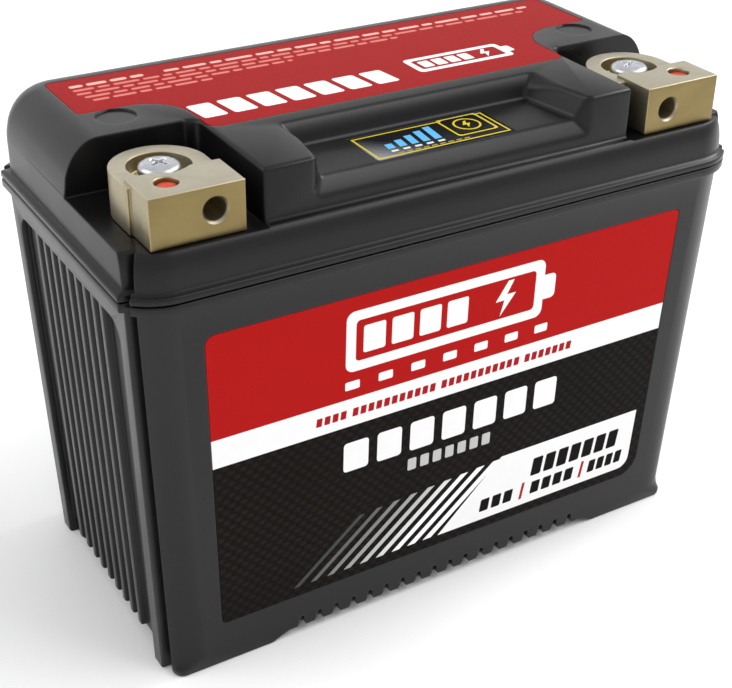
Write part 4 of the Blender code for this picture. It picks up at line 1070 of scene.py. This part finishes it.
# ---------------------------------------------------------------- terminals
def build_terminal(side, word):
    xs = sorted((side * BLOCK_X0, side * BLOCK_X1))
    block = finish(box_bm((xs[0], BLOCK_Y0, TERM_BASE), (xs[1], BLOCK_Y1, TERM_TOP)), f"{word}_block", BRASS)
    cx = side * TERM_X[side]
    outline = [(cx - LOBE_R, BLOCK_Y1 - 3.0), (cx + LOBE_R, BLOCK_Y1 - 3.0)]
    for k in range(37):
        t = math.pi * k / 36
        outline.append((cx + LOBE_R * math.cos(t), TERM_Y + LOBE_R * math.sin(t)))
    front_hole = bmesh.new()
    hx, hz = side * 60.4, FRONT_HOLE_Z[side]
    for r0, r1, ya, yb in ((BOLT_HOLE_R, BOLT_HOLE_R, -45.0, -28.6), (BOLT_HOLE_R + 0.95, BOLT_HOLE_R - 0.3, -38.9, -37.3)):
        ring0, ring1 = circle(hx, hz, r0, 40), circle(hx, hz, r1, 40)
        tool = bmesh.new() if r0 != r1 else front_hole
        loft_bm([[(x, ya, z) for x, z in ring0], [(x, yb, z) for x, z in ring1]], tool)
        if r0 != r1:
            sink = tool
    top_hole = prism_bm(circle(side * 68.3, -32.0, BOLT_HOLE_R, 36), 117.0, 130.0)
    top_sink = turned_bm(side * 68.3, -32.0, [(BOLT_HOLE_R - 0.2, TERM_TOP - 0.45), (BOLT_HOLE_R + 0.45, TERM_TOP + 0.2)], 36)
    boolean(block, [
        ("UNION", prism_bm(outline, TERM_BASE, LOBE_TOP)),
        ("DIFFERENCE", prism_bm(circle(cx, TERM_Y, 7.0, 56), 122.0, 130.0)),
        ("DIFFERENCE", prism_bm(circle(cx, TERM_Y, 3.4, 32), 100.0, 130.0)),
        ("DIFFERENCE", top_hole), ("DIFFERENCE", top_sink),
        ("DIFFERENCE", front_hole), ("DIFFERENCE", sink),
    ])
    soften(block, 0.35, 3, 32.0)

    cap = finish(turned_bm(side * 68.3, -32.0, [(2.2, 117.4), (2.42, 117.6), (2.42, 125.1), (2.2, 125.45), (1.7, 125.6), (0.8, 125.66)], 32), f"{word}_cap", CAP, smooth=50)
    insert = finish(turned_bm(cx, TERM_Y, [(4.9, 102.0), (5.3, 102.6), (5.3, 104.0), (5.0, 104.4), (5.0, 105.4), (5.3, 105.8), (5.3, 114.5)], 40), f"{word}_insert", BRASS, smooth=40)
    boolean(insert, [("DIFFERENCE", prism_bm(circle(cx, TERM_Y, 3.3, 32), 90.0, 130.0))])
    soften(insert, 0.12, 2, 40.0)

    washer = finish(turned_bm(cx, TERM_Y, [(4.55, 122.3), (4.7, 122.45), (4.7, 123.15), (4.55, 123.3)], 48), f"{word}_washer", ZINC)
    boolean(washer, [
        ("DIFFERENCE", prism_bm(circle(cx, TERM_Y, 3.3, 32), 110.0, 130.0)),
        ("DIFFERENCE", box_bm((cx - 0.35, TERM_Y, 120.0), (cx + 0.35, TERM_Y + 8.0, 126.0))),
    ])
    soften(washer, 0.08, 2, 40.0)

    profile = [(2.6, 101.6), (3.0, 102.2)]
    z = 102.6
    while z < 121.8:
        profile += [(3.0, z), (2.62, z + 0.35), (3.0, z + 0.7)]
        z += 0.9
    profile += [(3.0, 123.55), (4.35, 123.6), (HEAD_R, 123.85), (HEAD_R, 124.75), (4.5, 125.25), (4.05, 125.7), (3.3, 125.98), (2.2, 126.1), (0.8, 126.15)]
    screw = finish(turned_bm(cx, TERM_Y, profile, 48), f"{word}_screw", ZINC, smooth=40)
    turn = math.radians(28.0)
    slots = bmesh.new()
    arms = []
    for angle in (turn, turn + math.pi / 2):
        c, s = math.cos(angle), math.sin(angle)

        def arm(length, half, z):
            flat = [(-length, -half), (length, -half), (length, half), (-length, half)]
            return [(cx + x * c - y * s, TERM_Y + x * s + y * c, z) for x, y in flat]

        arms.append(loft_bm([arm(1.3, 0.32, 124.3), arm(2.55, 0.52, 126.4)]))
    slots.free()
    boolean(screw, [("DIFFERENCE", arms[0]), ("DIFFERENCE", arms[1])])
    soften(screw, 0.07, 2, 45.0)
    return block, cap, insert, washer, screw


# ---------------------------------------------------------------- place the fine pieces
def stand_in(piece, node, body="case"):
    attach(piece, body)
    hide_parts(node)


stand_in(build_case(), "lower_case")
stand_in(build_lid(), "lid")
stand_in(build_front_label(), "front_label")
stand_in(build_top_label(), "top_label")
stand_in(build_overlay(), "indicator_overlay")
stand_in(build_key(), "test_button", "key")
for side, word in ((1, "positive"), (-1, "negative")):
    block, cap, insert, washer, screw = build_terminal(side, word)
    stand_in(block, f"{word}_terminal_block")
    stand_in(cap, f"{word}_thread_cap")
    stand_in(insert, f"{word}_terminal_insert")
    stand_in(washer, f"{word}_spring_washer")
    stand_in(screw, f"{word}_terminal_screw")

# the pieces that keep their CAD mesh take a detailed material
LOOKS = {
    "cell_": SLEEVE, "lower_cell_holder": HOLDER_PLASTIC, "upper_cell_holder": HOLDER_PLASTIC, "series_link": NICKEL,
    "negative_end_plate": NICKEL, "positive_end_plate": NICKEL, "negative_strap": COPPER, "positive_strap": COPPER,
    "management_board": BOARD, "indicator_board": BOARD, "board_screw": ZINC, "charge_display": DISPLAY,
    "tact_switch_body": SWITCH_PLASTIC, "tact_switch_plunger": PLUNGER_PLASTIC, "base_foam_pad": FOAM, "top_foam_pad": FOAM,
    "left_foam_pad": FOAM, "right_foam_pad": FOAM, "sense_wire_1": WIRE_BLACK, "sense_wire": WIRE_RED, "indicator_lead": WIRE_BLACK,
}
for name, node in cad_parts.items():
    for start, look in LOOKS.items():
        if name.startswith(start):
            for slot in node.material_slots:
                slot.material = look
            break

# ---------------------------------------------------------------- floor, camera, light
floor_bm = bmesh.new()
profile = [(-1.6, 0.0), (0.9, 0.0)]
for k in range(1, 13):
    t = math.radians(90 * k / 12)
    profile.append((0.9 + 0.5 * math.sin(t), 0.5 - 0.5 * math.cos(t)))
profile.append((1.4, 2.0))
left = [floor_bm.verts.new((-3.0, y, z)) for y, z in profile]
right = [floor_bm.verts.new((3.0, y, z)) for y, z in profile]
for i in range(len(profile) - 1):
    floor_bm.faces.new((left[i], right[i], right[i + 1], left[i + 1]))
floor_mesh = bpy.data.meshes.new("studio_floor")
floor_bm.to_mesh(floor_mesh)
floor_bm.free()
floor_mesh.shade_smooth()
floor = bpy.data.objects.new("studio_floor", floor_mesh)
HOME.objects.link(floor)
g = Graph("floor_paper", rough=0.55, specular=0.25)
g.colour(g.mix(g.span(g.noise(3.0, 2.0), 0.3, 0.7, 0.0, 0.02), (0.97, 0.97, 0.972), (0.95, 0.95, 0.952)))
floor_mesh.materials.append(g.material)

camera_data = bpy.data.cameras.new("photo_camera")
camera_data.sensor_width = 36.0
camera_data.sensor_fit = "HORIZONTAL"
camera_data.lens = 1418.09 / 732.0 * 36.0
camera_data.clip_start = 0.01
camera_data.clip_end = 20.0
camera = bpy.data.objects.new("photo_camera", camera_data)
HOME.objects.link(camera)
yaw, pitch, roll = 0.5470659, 0.5309338, 0.0159367
forward = Vector((math.sin(yaw) * math.cos(pitch), math.cos(yaw) * math.cos(pitch), -math.sin(pitch)))
level = Vector((math.cos(yaw), -math.sin(yaw), 0.0))
upward = level.cross(forward)
right_axis = math.cos(roll) * level + math.sin(roll) * upward
up_axis = -math.sin(roll) * level + math.cos(roll) * upward
rotation = Matrix((right_axis, up_axis, -forward)).transposed().to_4x4()
camera.matrix_world = Matrix.Translation(Vector((-170.515, -278.581, 243.962)) * MM) @ rotation
bpy.context.scene.camera = camera


def area_light(name, place, target, size, power, tone=(1.0, 1.0, 1.0)):
    data = bpy.data.lights.new(name, "AREA")
    data.shape = "RECTANGLE"
    data.size, data.size_y = size
    data.energy = power
    data.color = tone
    obj = bpy.data.objects.new(name, data)
    HOME.objects.link(obj)
    aim = Vector(target) - Vector(place)
    obj.matrix_world = Matrix.Translation(Vector(place)) @ aim.to_track_quat("-Z", "Y").to_matrix().to_4x4()
    return obj


area_light("key_right", (0.66, -0.66, 1.02), (0.0, 0.0, 0.08), (0.75, 0.75), 5.5)
area_light("far_right", (0.98, -0.05, 0.80), (-0.04, 0.0, 0.04), (0.5, 0.5), 6.5)
area_light("side_left", (-1.10, 0.30, 0.85), (-0.15, 0.0, 0.0), (0.9, 0.9), 5.0)

world = bpy.data.worlds.new("studio_world")
bpy.context.scene.world = world
world.use_nodes = True
background = world.node_tree.nodes["Background"]
background.inputs["Color"].default_value = (1.0, 1.0, 1.0, 1.0)
background.inputs["Strength"].default_value = 0.80

scene = bpy.context.scene
scene.view_settings.view_transform = "Standard"
scene.view_settings.look = "None"
